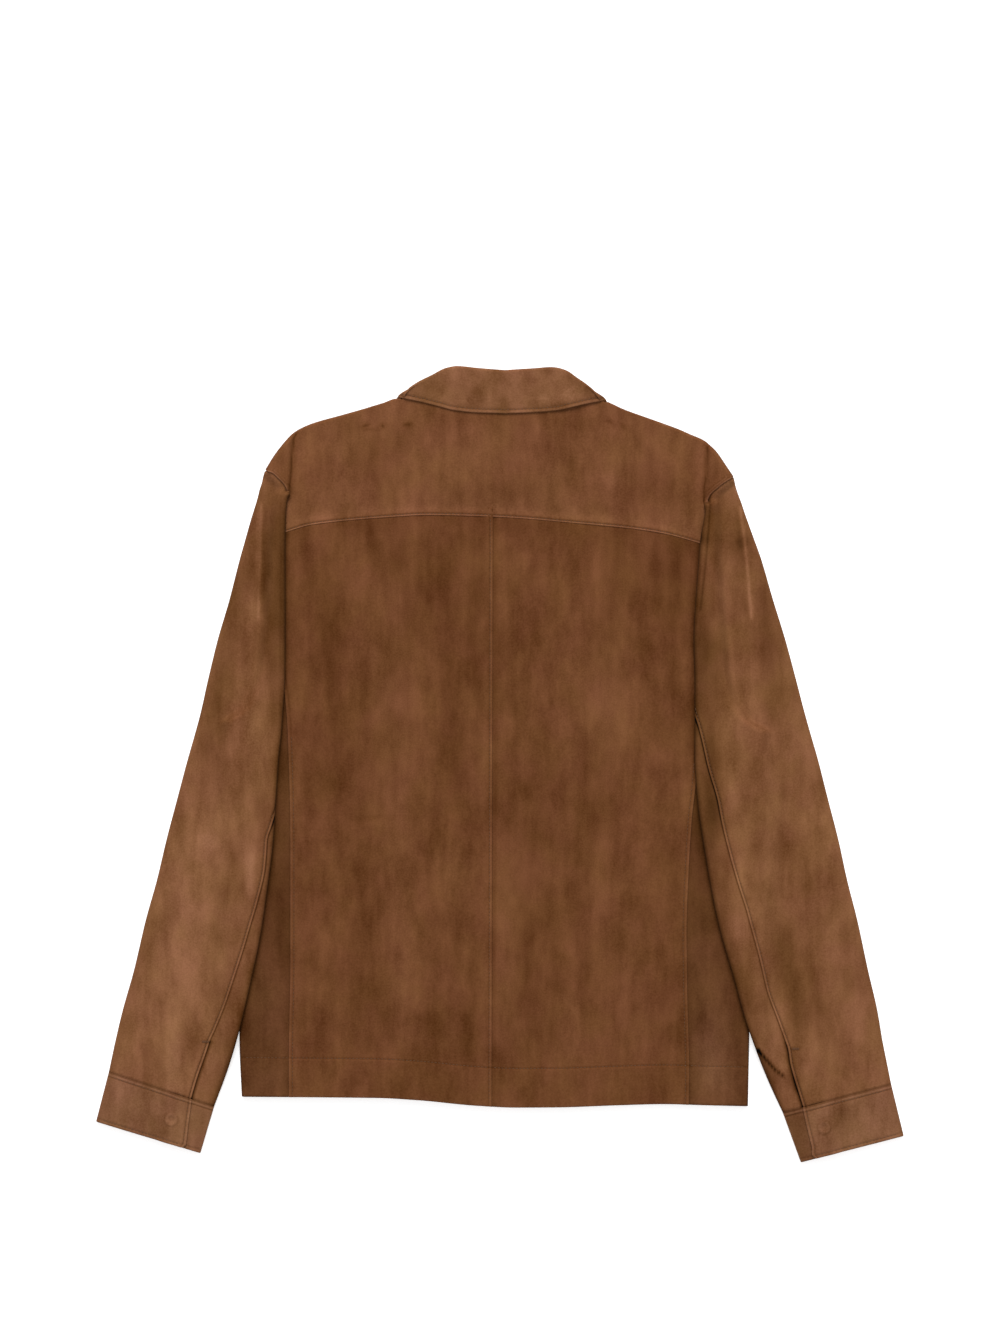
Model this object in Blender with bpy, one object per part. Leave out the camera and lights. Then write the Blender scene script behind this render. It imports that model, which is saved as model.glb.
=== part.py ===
"""A suede jacket laid flat with its back up and its sleeves drawn down over the body.

Every piece of suede is one wall. Its middle surface is a net of rows and columns, worked out from
the short tables below, and each wall is that net thickened by half of WALL to either side. Sizes
are in millimetres until the meshes are made: x to the right, y towards the collar, z up from the
floor. Where a table says out, it is the distance from the line x = 0 to that side.
"""

import math
from collections import namedtuple
from types import SimpleNamespace

import bpy
import numpy as np

MM = 0.001
WALL = 1.8
SEAM = 0.5
AIR = 0.3
STEP = WALL + AIR

FLOOR = WALL / 2
BACK = 5.9
TUCK = BACK + STEP
SLEEVE_GAP = 1.3
SLEEVE_PUFF = 1.1
NECK_SWELL = 1.6

CENTRE_FRONT = -6.0
FRONT_OVERLAP = 25.0
OVERLAP_RAMP = 22.0
FRONT_YOKE_TOP = 326.0
FRONT_YOKE_SLOPE = 0.56
NECK_SIDE = 95.0
LEAF_LIFT = 2.4
LEAF_REACH = 38.0
LEAF_FADE = 22.0

CLIMB_AT_UNDERARM = 5.0
CLIMB_BELOW = 22.0
CLIMB_GROWS_OVER = 60.0
ARMHOLE_SOFT = 13.0
ARMHOLE_LEDGE = 2.0
ARMHOLE_ROOM = 1.0
STAND_ROOM = 0.9
SLEEVE_SEAM = 1.0
SLEEVE_SOFT = 10.0

CUFF_LAP = 14.0
CUFF_RAMP = 14.0
CUFF_CORNER = 5.0
LEAST_COLUMN = 0.7

Point = namedtuple("Point", "out y")
Seam = namedtuple("Seam", "over_fold y")
Along = namedtuple("Along", "x y")
Section = namedtuple("Section", "outer_out outer_y inner_out inner_y")
CollarRow = namedtuple("CollarRow", "at fold_x fold_y fold_z turn over_x over_y over_z edge_x edge_y edge_z")
StandRow = namedtuple("StandRow", "at x z")

HEM = [
    Along(-253, -326.0),
    Along(-121, -327.0),
    Along(-82, -329.0),
    Along(-23, -334.5),
    Along(15, -336.5),
    Along(55, -336.5),
    Along(113, -334.5),
    Along(192, -333.5),
    Along(242, -334.5),
]

YOKE_SEAM = [
    Along(-212, 226.5),
    Along(-185, 234.5),
    Along(-157, 239.0),
    Along(-114, 242.5),
    Along(-70, 244.5),
    Along(-27, 243.5),
    Along(15, 241.5),
    Along(67, 236.5),
    Along(120, 232.0),
    Along(156, 227.0),
    Along(194, 216.0),
    Along(201, 213.5),
]

CENTRE_BACK = [Along(-8.8, -336.0), Along(-7.4, 243.0)]

BACK_NECK = [
    Along(-95.5, 348.2),
    Along(-84, 353.0),
    Along(-68, 352.0),
    Along(-47, 349.5),
    Along(-23, 347.0),
    Along(3, 346.0),
    Along(30, 347.0),
    Along(54, 349.5),
    Along(76, 351.5),
    Along(92, 349.2),
    Along(104.5, 345.0),
]

FRONT_NECK = [
    Along(-95.5, 326.0),
    Along(-76, 303.0),
    Along(-50, 283.0),
    Along(-22, 274.0),
    Along(3, 271.0),
    Along(28, 273.0),
    Along(56, 282.0),
    Along(82, 301.0),
    Along(104.5, 323.0),
]

LEFT = SimpleNamespace(
    name="left",
    sign=-1,
    underarm=40.5,
    armhole=[
        Point(230.0, 285.5),
        Point(222.5, 283.5),
        Point(217.5, 279.0),
        Point(210.0, 270.5),
        Point(208.5, 265.5),
        Point(210.0, 259.0),
        Point(212.0, 250.0),
        Point(213.5, 236.5),
        Point(214.5, 227.0),
        Point(216.5, 199.5),
        Point(219.0, 160.0),
        Point(222.5, 121.0),
        Point(229.0, 82.0),
        Point(241.0, 54.5),
        Point(260.0, 40.5),
    ],
    fold=[
        Point(253.0, -326.0),
        Point(255.0, -282.5),
        Point(256.0, -232.0),
        Point(257.5, -134.0),
        Point(259.5, -36.0),
        Point(261.0, 40.5),
    ],
    side_seam=[
        Point(206.5, -326.0),
        Point(206.5, -292.5),
        Point(205.0, -192.5),
        Point(205.0, -80.0),
        Point(207.5, 26.0),
        Point(210.0, 62.0),
        Point(214.5, 90.0),
        Point(224.0, 122.0),
        Point(240.0, 160.0),
    ],
    shoulder=[
        Point(90.0, 347.5),
        Point(98.0, 348.5),
        Point(104.0, 350.5),
        Point(109.0, 353.0),
        Point(113.0, 354.2),
        Point(119.5, 352.5),
        Point(139.0, 346.5),
        Point(160.5, 340.5),
        Point(181.5, 334.5),
        Point(195.0, 329.0),
        Point(204.0, 323.0),
        Point(209.5, 317.0),
        Point(214.5, 311.0),
        Point(222.5, 299.5),
        Point(230.0, 286.5),
    ],
    back_seam=[
        Seam(-8.0, 121.0),
        Seam(-4.0, -20.0),
        Seam(-2.0, -38.0),
        Seam(3.0, -60.0),
        Seam(6.5, -76.0),
        Seam(7.0, -104.5),
        Seam(8.5, -135.5),
        Seam(12.0, -159.5),
        Seam(15.5, -192.5),
        Seam(21.5, -237.5),
        Seam(25.5, -269.0),
        Seam(27.0, -277.0),
        Seam(27.5, -302.5),
        Seam(24.5, -335.0),
    ],
    sleeve=[
        Section(232.3, 279.5, 218.5, 280.0),
        Section(233.5, 274.0, 213.5, 274.5),
        Section(236.0, 268.0, 208.5, 268.0),
        Section(238.0, 258.0, 207.0, 259.0),
        Section(241.0, 248.0, 208.5, 247.5),
        Section(244.0, 238.5, 209.0, 236.5),
        Section(249.5, 219.0, 209.5, 218.0),
        Section(255.0, 199.5, 209.5, 199.5),
        Section(265.5, 158.5, 209.5, 158.5),
        Section(276.5, 121.0, 209.5, 121.0),
        Section(286.0, 82.0, 210.0, 82.0),
        Section(289.0, 68.0, 210.5, 69.0),
        Section(291.5, 57.0, 211.5, 58.0),
        Section(293.5, 48.5, 212.0, 49.5),
        Section(295.7, 42.0, 212.5, 43.0),
        Section(296.3, 38.5, 212.7, 39.5),
        Section(299.0, 28.0, 213.5, 29.0),
        Section(306.0, 3.5, 216.0, 5.5),
        Section(316.5, -36.0, 219.0, -40.5),
        Section(320.0, -50.0, 219.5, -53.0),
        Section(322.8, -60.0, 220.0, -63.0),
        Section(326.5, -74.0, 221.5, -78.0),
        Section(336.0, -114.0, 226.5, -118.0),
        Section(347.0, -153.5, 233.0, -164.0),
        Section(358.5, -202.5, 244.0, -217.0),
        Section(369.5, -241.5, 255.5, -265.0),
        Section(376.5, -271.0, 265.0, -296.5),
        Section(383.0, -301.5, 279.5, -335.5),
    ],
    cuff_hem=Section(395.0, -348.5, 292.0, -379.5),
    cuff_edge=[Point(301.5, -328.0), Point(304.0, -349.0), Point(306.5, -374.0)],
)

RIGHT = SimpleNamespace(
    name="right",
    sign=1,
    underarm=31.0,
    armhole=[
        Point(229.0, 279.5),
        Point(223.0, 277.0),
        Point(210.0, 267.5),
        Point(205.5, 262.0),
        Point(203.5, 255.0),
        Point(203.0, 246.5),
        Point(203.0, 233.5),
        Point(203.0, 214.0),
        Point(204.0, 189.5),
        Point(207.0, 150.5),
        Point(210.0, 111.0),
        Point(216.0, 72.0),
        Point(229.0, 44.5),
        Point(251.0, 31.0),
    ],
    fold=[
        Point(242.0, -334.5),
        Point(243.0, -282.5),
        Point(244.0, -232.0),
        Point(247.0, -134.0),
        Point(250.0, -36.0),
        Point(252.0, 31.0),
    ],
    side_seam=[
        Point(183.5, -334.5),
        Point(184.0, -300.5),
        Point(182.0, -215.0),
        Point(181.5, -165.0),
        Point(184.0, -95.5),
        Point(187.0, -50.5),
        Point(190.0, -25.0),
        Point(193.5, 13.0),
        Point(197.5, 42.5),
        Point(203.0, 72.0),
        Point(213.0, 105.0),
        Point(230.0, 140.0),
    ],
    shoulder=[
        Point(94.0, 345.0),
        Point(103.0, 345.5),
        Point(110.0, 347.0),
        Point(116.0, 349.0),
        Point(123.5, 346.5),
        Point(140.0, 340.5),
        Point(157.0, 334.5),
        Point(172.5, 329.0),
        Point(186.0, 323.0),
        Point(199.0, 317.0),
        Point(206.0, 311.0),
        Point(211.5, 305.5),
        Point(219.5, 293.5),
        Point(229.0, 280.5),
    ],
    back_seam=[
        Seam(-10.0, 101.5),
        Seam(-4.5, 72.0),
        Seam(1.5, 52.0),
        Seam(7.5, 35.0),
        Seam(16.0, -6.5),
        Seam(24.0, -39.5),
        Seam(26.0, -64.0),
        Seam(30.0, -90.5),
        Seam(33.5, -117.0),
        Seam(36.0, -148.5),
        Seam(34.5, -174.0),
        Seam(31.0, -221.0),
        Seam(35.0, -252.5),
        Seam(35.5, -278.5),
        Seam(31.5, -299.5),
        Seam(29.0, -316.0),
        Seam(25.5, -343.0),
    ],
    sleeve=[
        Section(230.8, 273.0, 217.5, 273.5),
        Section(231.3, 267.5, 210.5, 267.5),
        Section(232.5, 260.5, 204.5, 260.0),
        Section(234.0, 253.5, 200.0, 252.5),
        Section(237.5, 246.0, 199.0, 245.5),
        Section(241.0, 238.5, 198.0, 238.5),
        Section(248.0, 219.0, 194.5, 218.0),
        Section(255.0, 199.5, 193.0, 199.5),
        Section(266.5, 160.0, 190.0, 160.0),
        Section(278.5, 121.0, 188.0, 121.0),
        Section(289.0, 82.0, 189.0, 80.0),
        Section(292.5, 66.0, 189.0, 66.0),
        Section(296.5, 53.0, 189.0, 53.0),
        Section(299.5, 42.0, 189.0, 42.0),
        Section(302.3, 32.8, 189.0, 32.8),
        Section(303.0, 29.5, 189.0, 29.5),
        Section(306.0, 18.0, 189.0, 18.0),
        Section(310.5, 3.5, 189.0, 5.5),
        Section(320.5, -36.0, 192.0, -38.5),
        Section(330.5, -75.0, 197.5, -78.0),
        Section(339.0, -114.0, 204.0, -117.0),
        Section(349.0, -153.5, 212.5, -158.5),
        Section(359.5, -202.5, 226.5, -207.5),
        Section(368.5, -241.5, 238.0, -248.5),
        Section(373.5, -271.0, 252.0, -288.0),
        Section(377.5, -291.0, 263.0, -315.0),
        Section(382.0, -314.0, 275.5, -343.0),
    ],
    cuff_hem=Section(394.0, -363.0, 292.0, -390.0),
    cuff_edge=[Point(297.5, -337.0), Point(301.5, -353.0), Point(306.0, -375.0)],
)

COLLAR_CENTRE = 4.5
COLLAR_ROLL = 1.9
COLLAR_FRONT_ROLL = 1.5
TO_STAND = np.array([0.0, -5.5, 0.0])
COLLAR = [
    CollarRow(0.00, 0, 384.5, 9.4, 0, 0, 365, 10.6, 0, 342.0, 9.6),
    CollarRow(0.10, -26, 386.5, 9.4, 0, -26, 366, 10.6, -27, 343.5, 9.6),
    CollarRow(0.20, -47, 388.5, 9.3, 0, -47, 368, 10.6, -50, 346.0, 9.6),
    CollarRow(0.26, -58, 386.5, 8.8, 0, -60, 368, 9.9, -66, 350.0, 9.5),
    CollarRow(0.33, -69, 379.5, 8.4, 0, -73, 366, 9.6, -82, 354.0, 8.6),
    CollarRow(0.40, -79, 372.5, 8.2, 0, -86, 364, 9.4, -95, 356.5, 8.2),
    CollarRow(0.46, -88, 366.0, 8.0, 10, -97, 362, 9.0, -103, 358.5, 5.0),
    CollarRow(0.52, -94, 361.0, 7.0, 35, -107, 362, 4.5, -109, 351.0, 0.9),
    CollarRow(0.57, -94, 358.0, 4.0, 90, -110, 361, 0.45, -112, 342.0, 0.9),
    CollarRow(0.64, -86, 350.0, 2.4, 165, -106, 336, 0.9, -112, 318.0, 0.9),
    CollarRow(0.73, -75, 337.0, 2.4, 180, -97, 316, 0.9, -107, 297.0, 0.9),
    CollarRow(0.84, -54, 322.0, 2.4, 180, -81, 298, 0.9, -95, 270.0, 0.9),
    CollarRow(0.93, -32, 312.0, 2.4, 180, -55, 285, 0.9, -82, 252.0, 0.9),
    CollarRow(1.00, -8, 306.0, 2.4, 180, -40, 276, 0.9, -71, 242.0, 0.9),
]

STAND = [
    StandRow(0.00, 0, 7.5),
    StandRow(0.10, -26, 7.5),
    StandRow(0.20, -49, 6.8),
    StandRow(0.30, -66, 6.2),
    StandRow(0.40, -80, 5.9),
    StandRow(0.50, -90, 5.2),
]

walls = []


def smooth(value, low, high):
    """A soft step from 0 at low to 1 at high."""
    t = min(max((value - low) / (high - low), 0.0), 1.0)
    return t * t * (3 - 2 * t)


def mix(a, b, t):
    return a * (1 - t) + b * t


def along(table, where, what, at):
    """A soft curve without overshoot through one column of a table, read at a value of another."""
    rows = sorted(table, key=lambda row: getattr(row, where))
    x = [getattr(row, where) for row in rows]
    y = [getattr(row, what) for row in rows]
    last = len(x) - 2
    i = 0
    while i < last and at > x[i + 1]:
        i += 1
    slopes = [(y[k + 1] - y[k]) / (x[k + 1] - x[k]) for k in range(last + 1)]

    def tangent(k):
        if k == 0 or k > last:
            return slopes[min(k, last)]
        before, after = slopes[k - 1], slopes[k]
        return 0 if before * after <= 0 else 2 * before * after / (before + after)

    wide = x[i + 1] - x[i]
    t = min(max((at - x[i]) / wide, 0.0), 1.0)
    rise = y[i + 1] - y[i]
    start, end = tangent(i) * wide, tangent(i + 1) * wide
    return y[i] + t * start + t * t * (3 * rise - 2 * start - end) + t**3 * (start + end - 2 * rise)


def spread(*stretches):
    """Values that run through the given stretches, each (first, last, steps)."""
    values = []
    for first, last, steps in stretches:
        values += [mix(first, last, k / steps) for k in range(steps)]
    return values + [stretches[-1][1]]


def suede(name, colour):
    material = bpy.data.materials.new(name)
    material.use_nodes = True
    shader = material.node_tree.nodes["Principled BSDF"]
    shader.inputs["Base Color"].default_value = (*colour, 1.0)
    shader.inputs["Roughness"].default_value = 0.92
    shader.inputs["Metallic"].default_value = 0.0
    material.diffuse_color = (*colour, 1.0)
    return material


def wall(name, net, material):
    """One closed wall, WALL thick, round a net of points given as rows of columns."""
    net = np.array(net, float)
    rows, columns = net.shape[:2]
    normal = np.cross(np.gradient(net, axis=1), np.gradient(net, axis=0))
    normal /= np.linalg.norm(normal, axis=2, keepdims=True)
    outer = (net + normal * WALL / 2).reshape(-1, 3)
    inner = (net - normal * WALL / 2).reshape(-1, 3)
    count = rows * columns

    def at(row, column):
        return row * columns + column

    faces = []
    for r in range(rows - 1):
        for c in range(columns - 1):
            quad = [at(r, c), at(r, c + 1), at(r + 1, c + 1), at(r + 1, c)]
            faces.append(quad)
            faces.append([count + k for k in reversed(quad)])
    rim = [at(0, c) for c in range(columns - 1)]
    rim += [at(r, columns - 1) for r in range(rows - 1)]
    rim += [at(rows - 1, c) for c in range(columns - 1, 0, -1)]
    rim += [at(r, 0) for r in range(rows - 1, 0, -1)]
    for a, b in zip(rim, rim[1:] + rim[:1]):
        faces.append([b, a, count + a, count + b])
    walls.append((name, np.vstack([outer, inner]), faces, material))


def make_objects():
    """Turns the walls into objects whose common box stands centred on the origin."""
    corners = np.vstack([points for _, points, _, _ in walls])
    middle = (corners.min(axis=0) + corners.max(axis=0)) / 2
    middle[2] = corners[:, 2].min()
    for name, points, faces, material in walls:
        mesh = bpy.data.meshes.new(name)
        mesh.from_pydata(((points - middle) * MM).tolist(), [], faces)
        volume = sum(
            polygon.center.dot(polygon.normal) * polygon.area for polygon in mesh.polygons
        )
        if volume < 0:
            mesh.flip_normals()
        mesh.materials.append(material)
        mesh.shade_smooth()
        mesh.set_sharp_from_angle(angle=math.radians(50))
        bpy.context.scene.collection.objects.link(bpy.data.objects.new(name, mesh))
    print("middle of the box, mm:", middle.round(3))


# Lines and levels of the body


def armhole(side, y):
    return along(side.armhole, "y", "out", y)


def body_fold(side, y):
    return along(side.fold, "y", "out", y)


def back_edge(side, y):
    """Outer edge of a back and of a front: the side seam, and above it the armhole."""
    return min(along(side.side_seam, "y", "out", y), armhole(side, y))


def centre_back(y):
    return along(CENTRE_BACK, "y", "x", y)


def hem(x):
    return along(HEM, "x", "y", x)


def yoke_seam(x):
    return along(YOKE_SEAM, "x", "y", x)


def distance_to_run(x, y, points):
    """Distance from a point to a run of straight stretches."""
    best = math.inf
    for (ax, ay), (bx, by) in zip(points, points[1:]):
        length = (bx - ax) ** 2 + (by - ay) ** 2
        t = min(max(((x - ax) * (bx - ax) + (y - ay) * (by - ay)) / length, 0), 1)
        best = min(best, math.hypot(x - mix(ax, bx, t), y - mix(ay, by, t)))
    return best


def leaf_lift(x, y):
    """How far the front of the collar, which lies under them, lifts the fronts and the yoke."""
    out = abs(x - COLLAR_CENTRE)
    gap = distance_to_run(out, y, [(104, 352), (100, 322), (78, 268)])
    return LEAF_LIFT * (1 - smooth(gap, LEAF_REACH, LEAF_REACH + LEAF_FADE))


def neck_swell(x, y):
    """The body is thicker under the collar, where the fronts lap over its leaves."""
    return NECK_SWELL * smooth(y, 236, 278) * (1 - smooth(abs(x - CENTRE_FRONT), 52, 84))


def yoke_level(side, x, y):
    """Height of the back layer of the yoke, which rises to the sleeve beyond a crease."""
    out = abs(x)
    crease = along(side.armhole, "y", "out", 265) - 6
    rise = 2.6 * smooth(out, crease - 1, crease + 6) * smooth(y, 262, 270)
    return BACK + neck_swell(x, y) + rise


def patch(edge_a, edge_b, low, high, across, up, level):
    """A net between two side edges, given as x at y, and two ends, given as y at x."""
    net = []
    for v in up:
        row = []
        for u in across:
            y = mix(-300, 240, v)
            for _ in range(30):
                x = mix(edge_a(y), edge_b(y), u)
                y = (y + mix(low(x), high(x), v)) / 2
            row.append((x, y, level(x, y)))
        net.append(row)
    return net


def back(side, material):
    net = patch(
        lambda y: side.sign * (back_edge(side, y) - SEAM / 2),
        lambda y: centre_back(y) + side.sign * SEAM / 2,
        hem,
        lambda x: yoke_seam(x) - SEAM / 2,
        spread((0, 1, 6)),
        spread((0, 0.6, 6), (0.6, 1, 10)),
        lambda x, y: BACK + neck_swell(x, y),
    )
    wall(f"back_{side.name}", net, material)


def front_top(x):
    """Top of a front: the seam to the yoke, and inside the neck's side the neckline."""
    out = abs(x)
    neck = -FRONT_NECK[0].x if x < 0 else FRONT_NECK[-1].x
    if out < neck:
        return along(FRONT_NECK, "x", "y", x)
    start = along(FRONT_NECK, "x", "y", math.copysign(neck, x))
    return start - FRONT_YOKE_SLOPE * (out - neck)


def front(side, material):
    """The left front is the lower, and the right front's edge lies on it."""
    reach = CENTRE_FRONT - side.sign * FRONT_OVERLAP
    ramp = CENTRE_FRONT + FRONT_OVERLAP

    def level(x, y):
        lift = FLOOR + leaf_lift(x, y)
        if side.sign < 0:
            return lift
        return lift + STEP * (1 - smooth(x, ramp + 1.5, ramp + OVERLAP_RAMP))

    width = 206.0 + FRONT_OVERLAP
    lapped = 2 * FRONT_OVERLAP / width
    ramped = (2 * FRONT_OVERLAP + OVERLAP_RAMP) / width
    net = patch(
        lambda y: side.sign * (back_edge(side, y) - SEAM / 2),
        lambda y: reach,
        hem,
        lambda x: front_top(x) - SEAM / 2,
        spread((0, 1 - ramped, 7), (1 - ramped, 1 - lapped, 3), (1 - lapped, 1, 2)),
        spread((0, 0.55, 4), (0.55, 0.86, 5), (0.86, 1, 5)),
        level,
    )
    wall(f"front_{side.name}", net, material)


def side_panel(side, material):
    """Runs from the back's side seam round the body's fold to the same line on the front."""
    radius = (BACK - FLOOR) / 2

    def turn(y):
        return body_fold(side, y) - WALL / 2 - radius

    def seam(y):
        return along(side.side_seam, "y", "out", y) + SEAM / 2

    places = [("flat", k / 5, BACK) for k in range(5)]
    places += [("round", math.pi / 2 - math.pi * k / 4, 0) for k in range(5)]
    places += [("flat", k / 5, FLOOR) for k in range(4, -1, -1)]

    def place(kind, value, level, y):
        if kind == "flat":
            return mix(seam(y), turn(y), value), level
        return turn(y) + radius * math.cos(value), FLOOR + radius * (1 + math.sin(value))

    def top(kind, value, level):
        low, high = side.underarm, side.underarm + 110
        for _ in range(30):
            y = (low + high) / 2
            if place(kind, value, level, y)[0] < armhole(side, y) - ARMHOLE_ROOM:
                low = y
            else:
                high = y
        return low if low > side.underarm + 2.5 else side.underarm - 3.0

    net = []
    for v in spread((0, 0.84, 8), (0.84, 1, 4)):
        row = []
        for spot in places:
            y = mix(-330, top(*spot), v)
            out, z = place(*spot, y)
            y = mix(hem(side.sign * out), top(*spot), v)
            out, z = place(*spot, y)
            row.append((side.sign * out, y, z))
        net.append(row)
    wall(f"side_{side.name}", net, material)


# Yoke


def shoulder(x):
    side = LEFT if x < 0 else RIGHT
    return along(side.shoulder, "out", "y", abs(x))


def yoke_path(w):
    """The middle line of one column of the yoke, from its back seam up, and where its bend is."""
    side = LEFT if w < 0 else RIGHT

    def column(y):
        return side.sign * abs(w) * (armhole(side, y) - SEAM / 2)

    low = 230.0
    for _ in range(12):
        low = yoke_seam(column(low)) + SEAM / 2
    top_x = column(300.0)
    beyond = abs(top_x) - abs(BACK_NECK[0 if w < 0 else -1].x)
    if beyond < 1.5:
        high = along(BACK_NECK, "x", "y", top_x) - SEAM
        path = [(column(mix(low, high, f)), mix(low, high, f)) for f in spread((0, 1, 40))]
        return np.array([(x, y, yoke_level(side, x, y)) for x, y in path]), (0.9, 0.96)

    high = shoulder(top_x)
    slope = (shoulder(top_x + 2) - shoulder(top_x - 2)) / 4
    slope = max(min(slope, 1.4), -1.4)
    away = np.array([-slope, 1.0]) / math.hypot(slope, 1)
    front_z = FLOOR + leaf_lift(top_x, high)
    back_z = yoke_level(side, top_x, high)
    radius = (back_z - front_z) / 2
    turn = np.array([top_x, high]) - away * (WALL / 2 + radius)
    shift = turn[0] - column(turn[1])

    def plan(y):
        return column(y) + shift * smooth(y, turn[1] - 4, turn[1])

    path = []
    for f in spread((0, 1, 60)):
        y = mix(low, turn[1], f)
        path.append((plan(y), y, yoke_level(side, plan(y), y)))
    path[-1] = (*turn, back_z)
    bend_start = len(path)
    for k in range(1, 12):
        angle = math.pi / 2 - math.pi * k / 12
        x, y = turn + away * radius * math.cos(angle)
        path.append((x, y, front_z + radius * (1 + math.sin(angle))))
    bend_end = len(path)
    share = smooth(beyond, 1.5, 8.0)
    end = front_top(column(turn[1])) + SEAM / 2
    for _ in range(40):
        end = (end + front_top(plan(end)) + SEAM / 2) / 2
    end = mix(turn[1] - 2, end, share)
    for f in spread((0, 1, 40)):
        y = mix(turn[1], end, f)
        path.append((plan(y), y, FLOOR + leaf_lift(plan(y), y)))
    path = np.array(path)
    length = np.concatenate([[0], np.cumsum(np.linalg.norm(np.diff(path, axis=0), axis=1))])
    return path, (length[bend_start - 1] / length[-1], length[bend_end] / length[-1])


def along_path(path, fractions):
    """Points at the given fractions of a path's length."""
    steps = np.linalg.norm(np.diff(path, axis=0), axis=1)
    length = np.concatenate([[0], np.cumsum(steps)])
    return np.stack(
        [np.interp(np.array(fractions) * length[-1], length, path[:, k]) for k in range(3)], axis=1
    )


def yoke(material):
    left_neck = -BACK_NECK[0].x / (LEFT.armhole[0].out - SEAM / 2)
    right_neck = BACK_NECK[-1].x / (RIGHT.armhole[0].out - SEAM / 2)
    columns = spread((-1, -0.9, 3), (-0.9, -left_neck - 0.04, 6), (-left_neck - 0.04, -left_neck, 4))
    columns += spread((-left_neck, 0, 5), (0, right_neck, 5))[1:]
    columns += spread((right_neck, right_neck + 0.04, 4), (right_neck + 0.04, 0.9, 6), (0.9, 1, 3))[1:]
    net = []
    for w in columns:
        path, (start, end) = yoke_path(w)
        fractions = spread((0, 0.45 * start, 2), (0.45 * start, start, 6), (start, end, 5), (end, 1, 3))
        net.append(along_path(path, fractions))
    wall("yoke", net, material)


# Collar


def collar_places(table, fields, at):
    return {field: along(table, "at", field, abs(at)) for field in fields}


def collar_stations():
    half = spread((-1, -0.64, 6), (-0.64, -0.40, 8), (-0.40, 0, 6))
    return half + [-at for at in reversed(half[:-1])]


def mirrored(x, at):
    """The table gives the left half. The right half is its mirror, 3 mm nearer the hem."""
    return COLLAR_CENTRE + (x if at < 0 else -x)


def collar_start(at):
    """Middle of the collar's roll, and the way and distance from it to the fall."""
    fields = CollarRow._fields[1:]
    c = collar_places(COLLAR, fields, at)
    turn = math.radians(c["turn"])
    outward = np.array([-math.sin(turn), 0.0, math.cos(turn)])
    fold = np.array([c["fold_x"], c["fold_y"] - WALL / 2, c["fold_z"]])
    return fold, outward * mix(COLLAR_ROLL, COLLAR_FRONT_ROLL, smooth(abs(at), 0.5, 0.64))


def collar(material):
    fields = CollarRow._fields[1:]
    net = []
    for at in collar_stations():
        c = collar_places(COLLAR, fields, at)
        drop = 0 if at < 0 else 3.0 * smooth(at, 0.0, 0.5)
        fold, out = collar_start(at)
        side = smooth(abs(at), 0.46, 0.52) * (1 - smooth(abs(at), 0.58, 0.66))
        column = [fold + TO_STAND * mix(1, 0.5, side) - out]
        for angle in (-90, -36, 0, 36, 90):
            angle = math.radians(angle)
            reach = np.array([0.0, -np.linalg.norm(out) * (1 - math.cos(angle)), 0.0])
            column.append(fold + reach + out * math.sin(angle))
        rolled = column[-1]
        over = np.array([c["over_x"], c["over_y"], c["over_z"]])
        edge = np.array([c["edge_x"], c["edge_y"], c["edge_z"]])
        for t in (0.25, 0.5, 0.75, 1.0):
            column.append(rolled * (1 - t) ** 2 + over * 2 * t * (1 - t) + edge * t * t)
        net.append([(mirrored(p[0], at), p[1] - drop, p[2]) for p in column])
    wall("collar", net, material)


def collar_stand(material):
    """The stand up from the back neck. Past the sides of the neck the leaf hides it."""
    net = []
    for at in [at for at in collar_stations() if abs(at) < 0.48]:
        c = collar_places(STAND, StandRow._fields[1:], at)
        drop = 0 if at < 0 else 3.0 * smooth(at, 0.0, 0.5)
        x = mirrored(c["x"], at)
        neck = np.array([x, along(BACK_NECK, "x", "y", x), c["z"]])
        fold, out = collar_start(at)
        top = fold + TO_STAND - out - np.array([0.0, STAND_ROOM, 0.0])
        top[0], top[1] = mirrored(top[0], at), top[1] - drop
        net.append([mix(neck, top, k / 3) for k in range(4)])
    wall("collar_stand", net, material)


# Sleeves


def climb_width(side, y):
    return mix(CLIMB_AT_UNDERARM, CLIMB_BELOW, smooth(side.underarm - y, 0, CLIMB_GROWS_OVER))


def lower_level(side, out, y):
    """Height of the sleeve's lower layer, which climbs from the floor onto the body."""
    fold = body_fold(side, y)
    on_body = 1 - smooth(out, fold - 1, fold + climb_width(side, y))
    return mix(FLOOR, TUCK, on_body)


def front_seam(side, y):
    return body_fold(side, y) + climb_width(side, y) + 2


def upper_level(side, out, y, share):
    """Height of the sleeve's upper layer at a share of its width."""
    if y > side.underarm:
        edge, soft = armhole(side, y) + ARMHOLE_LEDGE, ARMHOLE_SOFT
    else:
        edge, soft = body_fold(side, y), climb_width(side, y) + SLEEVE_SOFT
    cap = side.armhole[4].y
    lift = mix(TUCK - FLOOR, TUCK - FLOOR - 2.6, smooth(y, cap - 4, cap + 4))
    on_body = 1 - smooth(out, edge, edge + soft)
    puff = SLEEVE_PUFF * math.sin(math.pi * min(max(share, 0), 1)) * (1 - smooth(y, cap - 30, cap))
    return FLOOR + lift * on_body + WALL + SLEEVE_GAP + puff


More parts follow.
